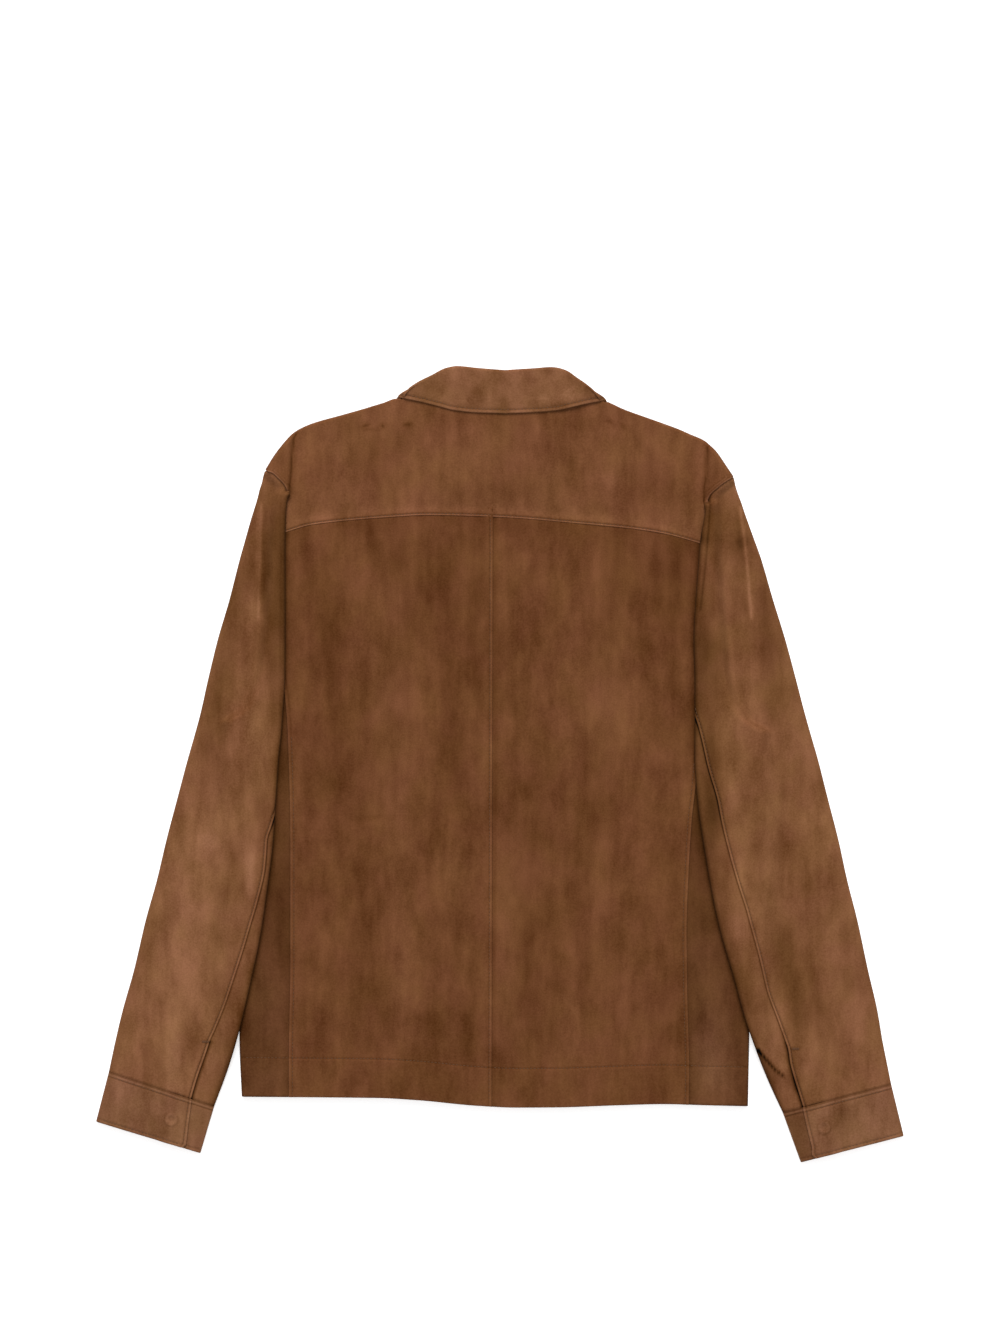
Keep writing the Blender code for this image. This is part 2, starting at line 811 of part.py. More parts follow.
def sleeve_section(side, section):
    """Points (d, z) round one section, d from its outer edge, and where the bends begin and end."""
    outer = np.array([section.outer_out, section.outer_y])
    inner = np.array([section.inner_out, section.inner_y])
    width = np.linalg.norm(inner - outer)
    way = (inner - outer) / width
    above = mix(section.outer_y, section.inner_y, 0.5) > side.underarm

    def place(d):
        return outer + way * d

    def first(d):
        return FLOOR if above else lower_level(side, *place(d))

    def second(d):
        return TUCK if above else lower_level(side, *place(d))

    def upper(d):
        return upper_level(side, *place(d), d / width)

    def bend(near, direction, under):
        radius = 2.0
        for _ in range(6):
            d = near + direction * (WALL / 2 + radius)
            radius = max((upper(d) - under(d)) / 2, 1.0)
        return near + direction * (WALL / 2 + radius), radius, (upper(d) + under(d)) / 2

    d0, r0, z0 = bend(0, 1, first)
    d1, r1, z1 = bend(width, -1, second)
    steps = [k / 40 for k in range(41)]
    arc = [math.pi * (k / 12 - 0.5) for k in range(1, 12)]
    points = [(mix(d1, d0, t), first(mix(d1, d0, t))) for t in steps]
    marks = [len(points) - 1]
    points += [(d0 - r0 * math.cos(a), z0 + r0 * math.sin(a)) for a in arc]
    marks.append(len(points))
    points += [(mix(d0, d1, t), upper(mix(d0, d1, t))) for t in steps]
    marks.append(len(points) - 1)
    points += [(d1 + r1 * math.cos(a), z1 - r1 * math.sin(a)) for a in arc]
    marks.append(len(points))
    points += [(mix(d1, d0, t), second(mix(d1, d0, t))) for t in steps]
    points = np.array(points)
    length = np.concatenate([[0], np.cumsum(np.linalg.norm(np.diff(points, axis=0), axis=1))])
    return SimpleNamespace(
        place=place, points=points, length=length, marks=marks, bends=(d0, d1), above=above
    )


def station(section, d, stretch):
    """Length round the section at distance d on its first, upper or second stretch."""
    ends = {
        "first": (0, section.marks[0]),
        "upper": (section.marks[1], section.marks[2]),
        "second": (section.marks[3], len(section.points) - 1),
    }[stretch]
    low, high = ends
    ds = section.points[low : high + 1, 0]
    lengths = section.length[low : high + 1]
    if ds[0] > ds[-1]:
        ds, lengths = ds[::-1], lengths[::-1]
    return float(np.interp(d, ds, lengths))


def distance_of(section, target):
    """Distance d along a section where it crosses a line given as out at y."""
    d = 30.0
    first = section.place(0)
    way = section.place(1) - first
    for _ in range(12):
        d = (target(first[1] + way[1] * d) - first[0]) / way[0]
    return d


def sections_between(start, end, bends, counts):
    """Lengths from start to end, with the columns in each stretch kept on it where they fit."""
    knots = [start, *bends, end]
    for k in range(1, len(knots)):
        knots[k] = max(knots[k], knots[k - 1] + counts[k - 1] * LEAST_COLUMN)
    knots[-1] = end
    for k in range(len(knots) - 2, 0, -1):
        knots[k] = min(knots[k], knots[k + 1] - counts[k] * LEAST_COLUMN)
    lengths = []
    for k, count in enumerate(counts):
        lengths += [mix(knots[k], knots[k + 1], j / count) for j in range(count)]
    return lengths + [end]


def section_row(side, section, lengths):
    row = []
    for length in lengths:
        d = float(np.interp(length, section.length, section.points[:, 0]))
        z = float(np.interp(length, section.length, section.points[:, 1]))
        out, y = section.place(d)
        row.append((side.sign * out, y, z))
    return row


def sleeve(side, material):
    """The outer sleeve, and the under sleeve between its back seam and its hidden front seam."""
    outer_net, under_net = [], []
    sections = list(side.sleeve)
    last = sections[-1]
    sections[-1] = Section(last.outer_out, last.outer_y + SEAM, last.inner_out, last.inner_y + SEAM)
    cap = side.armhole[4].y - 2
    joins = side.back_seam[0].y
    for row in sections:
        section = sleeve_section(side, row)
        marks = [section.length[k] for k in section.marks]
        arm_d = distance_of(section, lambda y: armhole(side, y) + SEAM)
        lap_d = distance_of(section, lambda y: armhole(side, y) - 0.5)
        front_d = distance_of(section, lambda y: front_seam(side, y))
        front_d = min(front_d, section.bends[1] - 6)
        start = station(section, arm_d if section.above else front_d, "first")
        under_end = station(section, lap_d if section.above else front_d + SEAM, "second")
        middle = row.inner_y
        if middle > cap:
            end = min(station(section, arm_d, "upper"), marks[2] - 0.5)
        elif middle > joins:
            end = under_end
        else:
            end = (marks[2] + marks[3]) / 2 - along(side.back_seam, "y", "over_fold", middle)
        lengths = sections_between(start, end, marks, (4, 4, 8, 4, 2))
        outer_net.append(section_row(side, section, lengths))
        if middle < joins:
            begin = end + SLEEVE_SEAM
            knee = station(section, distance_of(section, lambda y: body_fold(side, y) - 1), "second")
            lengths = sections_between(begin, under_end, [*marks[2:], knee], (3, 4, 6, 4))
            under_net.append(section_row(side, section, lengths))
    wall(f"sleeve_top_{side.name}", outer_net, material)
    wall(f"sleeve_under_{side.name}", under_net, material)


def cuff(side, material):
    """A band whose outer end laps over its inner end at the vent."""
    top, bottom = side.sleeve[-1], side.cuff_hem
    net = []
    for f in (0, 0.3, 0.6, 0.84, 0.94, 1):
        row = Section(*[mix(a, b, f) for a, b in zip(top, bottom)])
        section = sleeve_section(side, row)
        d0, d1 = section.bends
        over = distance_of(section, lambda y: along(side.cuff_edge, "y", "out", y))
        over -= CUFF_CORNER * smooth(f, 0.8, 1.05)
        under = over - CUFF_LAP
        first, second = section.marks[1], section.marks[2]
        upper_d = section.points[first : second + 1, 0]
        upper_z = section.points[first : second + 1, 1]
        points = [(d, np.interp(d, upper_d, upper_z)) for d in np.linspace(under, d1, 12)]
        knots = [len(points) - 1]
        points += list(section.points[section.marks[2] + 1 : section.marks[3]])
        knots.append(len(points))
        points += list(section.points[section.marks[3] :])
        knots.append(len(points) - 1)
        points += list(section.points[section.marks[0] + 1 : section.marks[1]])
        knots.append(len(points))
        for d in np.linspace(d0, over, 30):
            raised = STEP * smooth(d, under - CUFF_RAMP, under - 2)
            points.append((d, np.interp(d, upper_d, upper_z) + raised))
        points = np.array(points)
        length = np.concatenate([[0], np.cumsum(np.linalg.norm(np.diff(points, axis=0), axis=1))])
        bends = [length[k] for k in knots]
        lengths = sections_between(0, length[-1], bends, (3, 4, 6, 4, 9))
        band = SimpleNamespace(place=section.place, points=points, length=length)
        net.append(section_row(side, band, lengths))
    wall(f"cuff_{side.name}", net, material)


for old in list(bpy.data.objects):
    bpy.data.objects.remove(old, do_unlink=True)

body_suede = suede("body_suede", (0.150, 0.062, 0.026))
side_suede = suede("side_suede", (0.110, 0.045, 0.019))
sleeve_suede = suede("sleeve_suede", (0.180, 0.078, 0.034))

yoke(body_suede)
collar(body_suede)
collar_stand(body_suede)
for each in (LEFT, RIGHT):
    back(each, body_suede)
    front(each, body_suede)
    side_panel(each, side_suede)
    sleeve(each, sleeve_suede)
    cuff(each, sleeve_suede)
make_objects()
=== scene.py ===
"""A suede jacket laid flat on its front, with its back up and its sleeves drawn down over the body.

Sizes are in millimetres until a mesh is made: x to the right, y towards the collar, z up from the
table. Where a line says out, it is the distance from x = 0 to that side.
"""

import math

import bpy
import numpy as np
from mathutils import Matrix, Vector
from mathutils.bvhtree import BVHTree


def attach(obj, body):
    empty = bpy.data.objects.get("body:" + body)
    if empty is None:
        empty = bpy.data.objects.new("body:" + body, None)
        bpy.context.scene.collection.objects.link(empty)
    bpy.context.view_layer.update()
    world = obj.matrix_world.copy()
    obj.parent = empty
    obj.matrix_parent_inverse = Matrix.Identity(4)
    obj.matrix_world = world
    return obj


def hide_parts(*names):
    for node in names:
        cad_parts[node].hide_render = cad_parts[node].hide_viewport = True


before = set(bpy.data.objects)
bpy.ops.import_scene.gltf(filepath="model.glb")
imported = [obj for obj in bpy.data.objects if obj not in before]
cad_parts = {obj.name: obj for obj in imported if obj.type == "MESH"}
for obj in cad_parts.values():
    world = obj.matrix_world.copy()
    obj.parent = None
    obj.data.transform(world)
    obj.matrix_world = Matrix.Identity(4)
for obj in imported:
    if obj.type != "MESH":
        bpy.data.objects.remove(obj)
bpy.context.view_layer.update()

# Backs
# Two panels of suede from the yoke to the hem. The left one laps over the right at the centre back,
# both lap over the side panels, and both are turned up 38 mm at the hem under one row of stitches.

MM = 0.001
PATTERN_MIDDLE = np.array([-0.503, -0.784, -0.023])
SUEDE = 1.2
EDGE_ROUNDING = 0.32 * SUEDE
# Painted shade: a darker line round each piece's rim, and darkening where a surface turns from
# facing up.
PAINTED_EDGE_SHADE = 0.93
TURNED_SHADE = 0.42
LAP = 9.0
LAP_RISE = 0.8
LAP_DIP = 0.45
BACK_LEVEL = 5.9
BACK_NET = (205, 580)
BODY_SPAN = (-330.0, 240.0)
FOLD_EDGE = 0.9
HEM_DEPTH = 38.0
CENTRE_ROW = 2.4
SIDE_ROW = 3.2
STITCH = 2.5
STITCH_PITCH = 3.5
THREAD_RINGS = ((0, 0.12, -0.10), (0.2, 0.26, 0.06), (0.8, 0.26, 0.06), (1, 0.12, -0.10))
BROWN = (0.149, 0.0550, 0.0202)
SLOT_OF = {}


def line(*points):
    """A soft curve without overshoot through (at, value) points."""
    x, y = np.array(sorted(points), float).T
    slope = np.diff(y) / np.diff(x)
    tangent = np.concatenate([slope[:1], slope[:-1] * 0, slope[-1:]])
    product = slope[:-1] * slope[1:]
    total = np.where(product > 0, slope[:-1] + slope[1:], 1)
    tangent[1:-1] = np.where(product > 0, 2 * product / total, 0)

    def read(at):
        at = np.clip(np.asarray(at, float), x[0], x[-1])
        i = np.clip(np.searchsorted(x, at) - 1, 0, len(x) - 2)
        wide = x[i + 1] - x[i]
        t = (at - x[i]) / wide
        rise = y[i + 1] - y[i]
        start, end = tangent[i] * wide, tangent[i + 1] * wide
        return y[i] + t * (start + t * (3 * rise - 2 * start - end + t * (start + end - 2 * rise)))

    return read


def soft(value, low, high):
    """A soft step from 0 at low to 1 at high."""
    t = np.clip((np.asarray(value, float) - low) / (high - low), 0, 1)
    return t * t * (3 - 2 * t)


def mix(a, b, t):
    return a * (1 - t) + b * t


def bump(distance, width):
    return np.exp(-((distance / width) ** 2))


def from_stretch(ax, ay, bx, by, x, y):
    """How far along a straight stretch each place lies, from 0 to 1, and its distance from it."""
    length = max((bx - ax) ** 2 + (by - ay) ** 2, 1e-6)
    t = np.clip(((x - ax) * (bx - ax) + (y - ay) * (by - ay)) / length, 0, 1)
    return t, np.hypot(x - mix(ax, bx, t), y - mix(ay, by, t))


def marks_at(x, y, marks):
    """The sum of soft ridges, troughs, stains, painted shades and highlights, each (x, y, x, y,
    half width, height).
    """
    total = np.zeros(np.broadcast(x, y).shape)
    for *ends, width, height in marks:
        t, gap = from_stretch(*ends, x, y)
        total += height * np.sqrt(np.clip(1.15 - (2 * t - 1) ** 2, 0, 1)) * bump(gap, width)
    return total


def distance_to(points, x, y):
    """Distance from each place to a run of straight stretches."""
    best = np.full(np.broadcast(x, y).shape, 1e9)
    for start, end in zip(points, points[1:]):
        best = np.minimum(best, from_stretch(*start, *end, x, y)[1])
    return best


def length_along(points):
    """Length from the start of a run of points to each of them."""
    return np.concatenate([[0], np.cumsum(np.linalg.norm(np.diff(points, axis=0), axis=1))])


def rows_at(length, pitch, *fine):
    """Fractions of a length: one each pitch, and closer in the fine stretches (from, to, pitch)."""
    stops = {0.0, float(length)}
    for start, end, step in fine:
        start, end = max(start, 0.0), min(end, length)
        stops.update(np.linspace(start, end, max(int(round((end - start) / step)), 1) + 1))
    stops = sorted(stops)
    values = []
    for a, b in zip(stops, stops[1:]):
        if b - a > 1e-6:
            values += list(np.linspace(a, b, max(int(math.ceil((b - a) / pitch)), 1) + 1)[:-1])
    return np.array([*values, length]) / length


def lay_out(name, points, faces, finish, slot):
    """A smooth mesh in the scene with its finish and its slot, riding on the jacket's one body."""
    mesh = bpy.data.meshes.new(name)
    mesh.from_pydata(((points - PATTERN_MIDDLE) * MM).tolist(), [], faces)
    mesh.shade_smooth()
    mesh.materials.append(finish)
    piece = bpy.data.objects.new(name, mesh)
    bpy.context.scene.collection.objects.link(piece)
    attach(piece, "root")
    SLOT_OF[name] = slot
    return piece


def shell(net, tone, finish, node, slot):
    """A closed skin of suede round a net of points, with rounded edges, in place of a node."""
    rows, columns = net.shape[:2]
    normal = np.cross(np.gradient(net, axis=1), np.gradient(net, axis=0))
    normal /= np.linalg.norm(normal, axis=2, keepdims=True) + 1e-12
    # Painted shade where the surface turns away from facing up.
    tone = tone * (1 - TURNED_SHADE * (1 - np.abs(normal[..., 2])) ** 1.3)
    index = np.arange(rows * columns).reshape(rows, columns)
    rim = np.concatenate([index[0, :-1], index[:-1, -1], index[-1, :0:-1], index[:0:-1, 0]])
    away = np.zeros_like(net)
    for here, inside in ((0, 1), (-1, -2)):
        step = net[here] - net[inside]
        away[here] += step / (np.linalg.norm(step, axis=1, keepdims=True) + 1e-12)
        step = net[:, here] - net[:, inside]
        away[:, here] += step / (np.linalg.norm(step, axis=1, keepdims=True) + 1e-12)
    flat, count = net.reshape(-1, 3), rows * columns
    push = normal.reshape(-1, 3) * SUEDE / 2
    edge = flat[rim] + away.reshape(-1, 3)[rim] * EDGE_ROUNDING
    points = np.vstack([flat + push, flat - push, edge])
    a, b, c, d = index[:-1, :-1], index[:-1, 1:], index[1:, 1:], index[1:, :-1]
    top = np.stack([a, b, c, d], axis=-1).reshape(-1, 4)
    ring = 2 * count + np.arange(len(rim))
    after, ring_after = np.roll(rim, -1), np.roll(ring, -1)
    upper = np.stack([after, rim, ring, ring_after], axis=1)
    lower = np.stack([ring_after, ring, rim + count, after + count], axis=1)
    faces = np.vstack([top, top[:, ::-1] + count, upper, lower]).tolist()
    piece = lay_out(f"{node}_suede", points, faces, finish, slot)
    shade = piece.data.attributes.new("tone", "FLOAT", "POINT")
    tone = tone.reshape(-1)
    # The rounded rim takes a painted shade line, darker than the edge beside it.
    shade.data.foreach_set("value", np.concatenate([tone, tone, tone[rim] * PAINTED_EDGE_SHADE]))
    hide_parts(node)
    return piece


def new_finish(name):
    """A finish to build: its material, its node tree and its shader."""
    finish = bpy.data.materials.new(name)
    finish.use_nodes = True
    return finish, finish.node_tree, finish.node_tree.nodes["Principled BSDF"]


def connect(tree, node, sockets):
    """Set a node's sockets to plain values, or link them to the outputs of other nodes."""
    for socket, value in sockets.items():
        if isinstance(value, bpy.types.NodeSocket):
            tree.links.new(value, node.inputs[socket])
        else:
            node.inputs[socket].default_value = value
    return node


def add(tree, kind, sockets, operation=None):
    """A new node of a kind, with its sockets set or linked."""
    node = tree.nodes.new(f"ShaderNode{kind}")
    if operation:
        node.operation = operation
    return connect(tree, node, sockets)


def blend(tree, value, low, high):
    """The colour between two stops, each (position, colour), at a value."""
    ramp = add(tree, "ValToRGB", {"Fac": value})
    for stop, (position, colour) in zip(ramp.color_ramp.elements, (low, high)):
        stop.position, stop.color = position, (*colour, 1)
    return ramp.outputs["Color"]


def suede(name, colour, streaks=(72, 11, 60)):
    """Brushed suede: cloudy where the nap lies one way or the other, with soft upright streaks."""
    finish, tree, shader = new_finish(name)
    place = tree.nodes.new("ShaderNodeTexCoord").outputs["Object"]

    def cloud(scale, detail, stretch=(1, 1, 1), shift=0.0):
        moved = {"Vector": place, "Scale": stretch, "Location": (shift, shift * 0.7, 0)}
        vector = add(tree, "Mapping", moved).outputs["Vector"]
        noise = {"Vector": vector, "Scale": scale, "Detail": detail, "Roughness": 0.55}
        return add(tree, "TexNoise", noise).outputs["Fac"]

    def weigh(value, share, rest):
        return add(tree, "Math", {0: value, 1: share, 2: rest}, "MULTIPLY_ADD").outputs[0]

    def lain(share):
        """The colour as the nap turns: brighter is also paler, and darker is fuller."""
        return colour[0] * share, colour[1] * share**1.25, colour[2] * share**1.7

    patches = cloud(17, 3.0, (1.0, 0.75, 1.0), 3.1)
    drawn = cloud(1, 3.0, streaks, 1.7)
    mottle = cloud(62, 3.0, (1.0, 0.5, 1.0), 5.3)
    grain = cloud(650, 2.0)
    nap = weigh(patches, 0.36, weigh(mottle, 0.42, weigh(drawn, 0.36, weigh(grain, 0.32, -0.23))))
    shade = blend(tree, nap, (0.30, lain(0.60)), (0.70, lain(1.40)))
    uneven = cloud(30, 2.5, (1.0, 0.8, 1.0), 8.9)
    dye = blend(tree, uneven, (0.35, (1.015, 0.980, 1.030)), (0.65, (0.985, 1.015, 0.925)))
    dyed = add(tree, "VectorMath", {0: shade, 1: dye}, "MULTIPLY").outputs["Vector"]
    # Each piece's tone scales the colour. It holds stains and marks, and also painted shade and
    # highlights along folds, creases, seams and edges.
    tone = tree.nodes.new("ShaderNodeAttribute")
    tone.attribute_name = "tone"
    tone = tone.outputs["Fac"]
    toned = add(tree, "VectorMath", {0: dyed, "Scale": tone}, "SCALE").outputs["Vector"]
    fuller = {"Saturation": weigh(tone, -0.14, 1.14), "Color": toned}
    pile = weigh(cloud(1500, 2.0), 0.7, weigh(drawn, 0.8, 0.0))
    pressed = {"Strength": 0.35, "Distance": 0.0004, "Height": pile}
    connect(tree, shader, {
        "Base Color": add(tree, "HueSaturation", fuller).outputs["Color"],
        "Normal": add(tree, "Bump", pressed).outputs["Normal"],
        "Roughness": 0.95, "Specular IOR Level": 0.05,
        "Sheen Weight": 0.03, "Sheen Roughness": 0.5, "Sheen Tint": (0.70, 0.42, 0.25, 1),
    })
    return finish


# The hem and the yoke's seam as y at x, the centre as x at y, and the side seams, the armholes and
# the sleeves' inner edges as out at y.
hem_line = line(
    (-253, -325.2), (-121, -326.4), (-82, -328.5), (-23, -334), (15, -335.8), (55, -335.6),
    (113, -333.6), (160, -332.4), (200, -333.5), (242, -334.5),
)
yoke_line = line(
    (-212, 225), (-185, 232.8), (-157, 236.3), (-114, 240), (-70, 242.4), (-27, 241.5), (15, 239.5),
    (67, 235), (120, 230.1), (156, 225), (194, 215), (201, 212.7),
)
centre_line = line((-336, -8.8), (243, -7.6))
side_seam = {
    -1: line(
        (-326, 206.5), (-292.5, 206.5), (-192.5, 205), (-80, 205), (26, 207.5), (62, 210),
        (90, 214.5), (122, 224), (160, 240),
    ),
    1: line(
        (-334.5, 183.5), (-300.5, 184), (-215, 182), (-165, 181.5), (-95.5, 184), (-50.5, 187),
        (-25, 190), (13, 193.5), (42.5, 197.5), (72, 203), (105, 213), (140, 230),
    ),
}
armhole = {
    -1: line(
        (285.5, 230), (283.5, 222.5), (279, 217.5), (270.5, 210), (265.5, 208.5), (259, 210),
        (250, 212), (236.5, 213.5), (227, 214.5), (199.5, 216.5), (160, 219), (121, 222.5),
        (82, 229), (54.5, 241), (40.5, 260),
    ),
    1: line(
        (278.8, 227.6), (276.5, 222), (267.5, 210), (262.5, 204.8), (256, 202.3), (246.5, 202),
        (233.5, 203), (214, 203), (189.5, 204), (150.5, 207), (111, 210), (72, 216), (44.5, 229),
        (31, 251),
    ),
}
sleeve_edge = {
    -1: [(258, 207), (218, 209.5), (82, 210), (49.5, 212), (5.5, 216), (-40.5, 219), (-78, 221.5),
         (-118, 226.5), (-164, 233), (-217, 244), (-265, 255.5)],
    1: [(260, 201), (245.5, 199), (218, 194.5), (160, 190), (121, 188), (18, 189), (-38.5, 192),
        (-78, 197.5), (-117, 204), (-158.5, 212.5), (-207.5, 226.5), (-248.5, 238), (-288, 252)],
}


def by_sleeve(side, x, y):
    """How deep a place on the body lies in the shade of the sleeve's edge."""
    run = [(side * out, at) for at, out in sleeve_edge[side]]
    gap = distance_to(run, x, y)
    return 0.30 * bump(gap, 2.2) + 0.10 * bump(gap, 7)


# Creases, and stains with painted shade and highlights along creases, each from a place to a place,
# with its half width and its height or tone.
BODY_CREASES = [
    (-150, 236, -120, 90, 16, 0.5), (-95, 230, -110, -60, 22, -0.45),
    (-60, 120, -40, -250, 26, 0.5), (-170, 60, -150, -240, 20, 0.45),
    (-30, 235, -22, 60, 10, -0.35), (45, 225, 60, -40, 24, 0.5), (110, 215, 90, -120, 22, -0.45),
    (150, 225, 168, 120, 9, -0.6), (160, 160, 140, -200, 26, 0.5), (20, -60, 30, -280, 20, -0.4),
    (-147, -56, -113, -53, 3, -0.35), (-88, -190, -75, -200, 2.5, -0.25),
    (59, -228, 74, -243, 2.5, -0.3),
]
BODY_STAINS_AND_SHADING = [
    (-50, 229, -38, 229, 1.5, 0.10), (-54, 215, -46, -60, 13, -0.13),
    (-172, 200, -158, -60, 12, -0.11), (-108, 190, -96, -250, 19, 0.13),
    (-122, 110, -116, 50, 12, 0.07), (-28, -220, -32, -300, 9, -0.10),
    (108, 130, 106, 10, 19, 0.10), (10, -90, 4, -270, 12, 0.09), (66, -230, 72, -300, 20, 0.09),
    (120, -150, 150, -300, 20, 0.05), (118, 205, 150, 175, 24, -0.09),
    (-120, 200, -40, 190, 26, -0.05), (40, 205, 90, 185, 26, -0.05),
    (-100, -170, -96, -290, 10, 0.06), (175, 215, 168, 120, 12, -0.17),
    (60, 150, 90, -20, 34, 0.07), (90, -60, 120, -200, 30, 0.06), (-40, -60, -30, -180, 12, 0.05),
    (-60, -90, -40, -120, 12, 0.09), (-150, -120, -120, -240, 24, -0.05),
    (-147, -55, -113, -52, 2.2, -0.13), (58, -226, 76, -245, 1.6, 0.12),
    (-86, -193, -74, -194, 1.6, 0.10),
]


def neck_swell(x, y):
    """The back stands a little higher over the collar's leaves, which lie under the fronts."""
    return 1.6 * soft(y, 236, 278) * (1 - soft(abs(x + 6), 52, 84))


def hem_build(above):
    """The turned-up hem is thicker, and dips under its stitches. Above is the height over it."""
    turned_up = 1 - soft(above, HEM_DEPTH - 1, HEM_DEPTH + 3)
    return 0.45 * turned_up - 0.45 * bump(above - HEM_DEPTH, 1.3)


def pucker(run, beside):
    """Small gathers that a row of stitches pulls in, run along it and beside it in mm."""
    wave = np.sin(run / 1.9) + 0.6 * np.sin(run / 3.1 + 1.3) + 0.5 * np.sin(run / 0.83)
    return 0.07 * wave * bump(beside, 5.0)


def back_panel(side, name):
    """One back, laid out from its side seam to the centre and from the hem to under the yoke."""
    seam, hole = side_seam[side], armhole[side]
    wide, tall = BACK_NET
    across = rows_at(wide, 2.6, (0, 5, 0.6), (5, 12, 1.4), (193, 200, 1.4), (200, wide, 0.6))
    up = rows_at(tall, 2.8, (0, 4, 0.7), (35, 42, 0.7), (562, tall, 2))
    u, v = np.meshgrid(across, up)
    y = mix(*BODY_SPAN, v)
    for _ in range(30):
        edge = side * np.minimum(seam(y), hole(y) - 0.3)
        middle = centre_line(y) + (0.0 if side < 0 else -LAP)
        x = mix(edge, middle, u)
        y = (y + mix(hem_line(x), yoke_line(x) + LAP, v)) / 2
    beside = np.abs(x - edge)
    above = y - hem_line(x)
    z = BACK_LEVEL + neck_swell(x, y) + marks_at(x, y, BODY_CREASES) + hem_build(above)
    z += LAP_RISE * (1 - soft(beside, 2, LAP)) - 0.35 * bump(beside - SIDE_ROW, 1.1)
    z -= LAP_DIP * soft(y, yoke_line(x) - 0.5, yoke_line(x) + 3)
    from_centre = (centre_line(y) - x) if side < 0 else (x - centre_line(y))
    if side < 0:
        lap = LAP_RISE * (1 - soft(from_centre, 1.5, LAP))
        z += lap - 0.35 * bump(from_centre - CENTRE_ROW, 1.1)
    else:
        z -= LAP_DIP * (1 - soft(from_centre, 0, LAP))
    z += pucker(y, from_centre - CENTRE_ROW) + pucker(y + 40, beside - SIDE_ROW)
    z += pucker(x, above - HEM_DEPTH)
    z -= 0.5 * (1 - soft(above, 0, 2))
    tone = 0.87 + marks_at(x, y, BODY_STAINS_AND_SHADING)
    # Painted light and shade on the backs: a highlight on each lapped edge and on the hem's fold,
    # shade in the stitch rows' grooves, the left back's shadow on the right one at the centre, and
    # the sleeve's shadow near its edge. Also darker below the yoke's seam and lighter beside the
    # seams.
    if side < 0:
        tone += 0.16 * bump(from_centre - 1.3, 0.8) - 0.18 * bump(from_centre - 2.9, 0.7)
    else:
        tone -= 0.12 * (1 - soft(from_centre, 3, 5))
    tone += 0.16 * bump(beside - 0.6, 1.0) + 0.16 * bump(above - 0.8, 1.2)
    tone -= 0.14 * bump(beside - SIDE_ROW, 0.9) + 0.26 * bump(above - HEM_DEPTH, 0.8)
    tone -= 0.10 * bump(yoke_line(x) - y, 14)
    tone += 0.05 * bump(beside - 7, 4) + 0.05 * bump(from_centre - 7, 3) * (side < 0)
    tone -= by_sleeve(side, x, y)
    net = np.stack([x, y, z], axis=2)
    return shell(net, tone, body_suede, name, "body_suede")


def thread_finish():
    """Polyester thread, a little lighter than the suede, with its twist as a fine wave."""
    finish, tree, shader = new_finish("tan_thread")
    place = tree.nodes.new("ShaderNodeTexCoord").outputs["Object"]
    twist = {"Scale": 900.0, "Distortion": 2.0, "Vector": place}
    twist = add(tree, "TexWave", twist).outputs["Fac"]
    brown = blend(tree, twist, (0, (0.085, 0.036, 0.016)), (1, (0.155, 0.072, 0.033)))
    connect(tree, shader, {"Base Color": brown, "Roughness": 0.6, "Specular IOR Level": 0.3})
    return finish


def sew(piece, name, *runs):
    """Rows of thread pressed into the top of a piece, along runs of (x, y) points."""
    corners = [vertex.co for vertex in piece.data.vertices]
    surface = BVHTree.FromPolygons(corners, [face.vertices for face in piece.data.polygons])

    def height(x, y):
        top = (Vector((x, y, 0)) - Vector(PATTERN_MIDDLE)) * MM + Vector((0, 0, 0.1))
        hit = surface.ray_cast(top, Vector((0, 0, -1)))[0]
        return None if hit is None else hit.z / MM + PATTERN_MIDDLE[2]

    points, faces = [], []
    for run in runs:
        run = np.asarray(run, float)[:, :2]
        length = length_along(run)
        for start in np.arange(0.6, length[-1] - STITCH, STITCH_PITCH):
            span = (start, start + STITCH)
            ends = [[np.interp(at, length, run[:, k]) for k in (0, 1)] for at in span]
            levels = [height(*end) for end in ends]
            if None in levels or abs(levels[0] - levels[1]) > 1.5:
                continue
            a, b = (np.array([*end, level]) for end, level in zip(ends, levels))
            way = (b - a) / np.linalg.norm(b - a)
            across = np.cross(way, (0.0, 0.0, 1.0))
            across /= np.linalg.norm(across)
            up = np.cross(across, way)
            first = len(points)
            for t, radius, rise in THREAD_RINGS:
                for turn in (math.pi * k / 3 for k in range(6)):
                    lift, aside = rise + radius * math.sin(turn), radius * math.cos(turn)
                    points.append(mix(a, b, t) + up * lift + across * aside)
            for ring in range(3):
                for k in range(6):
                    here, after = first + 6 * ring + k, first + 6 * ring + (k + 1) % 6
                    faces.append((here, after, after + 6, here + 6))
            faces.append(tuple(first + k for k in range(5, -1, -1)))
            faces.append(tuple(first + 18 + k for k in range(6)))
    return lay_out(name, np.array(points), faces, tan_thread, SLOT_OF[piece.name])


tan_thread = thread_finish()
body_suede = suede("body_suede", BROWN)
back_left = back_panel(-1, "back_left")
back_right = back_panel(1, "back_right")


def hem_row(*between):
    return [(x, hem_line(x) + HEM_DEPTH) for x in np.linspace(*between)]


back_left_stitches = sew(
    back_left, "back_left_stitches",
    [(centre_line(y) - CENTRE_ROW, y) for y in np.linspace(-332, 240, 300)],
    [(SIDE_ROW + 0.2 - side_seam[-1](y), y) for y in np.linspace(-324, 26, 200)],
    hem_row(-205, -10, 90),
)
back_right_stitches = sew(
    back_right, "back_right_stitches",
    [(side_seam[1](y) - SIDE_ROW - 0.2, y) for y in np.linspace(-332, 0, 200)],
    hem_row(-7, 182, 90),
)

# Side panels
# One darker panel at each side, sewn under the back and taken round the edge of the body to the
# front. Its hem is turned up with the back's, and its top runs up into the armhole.

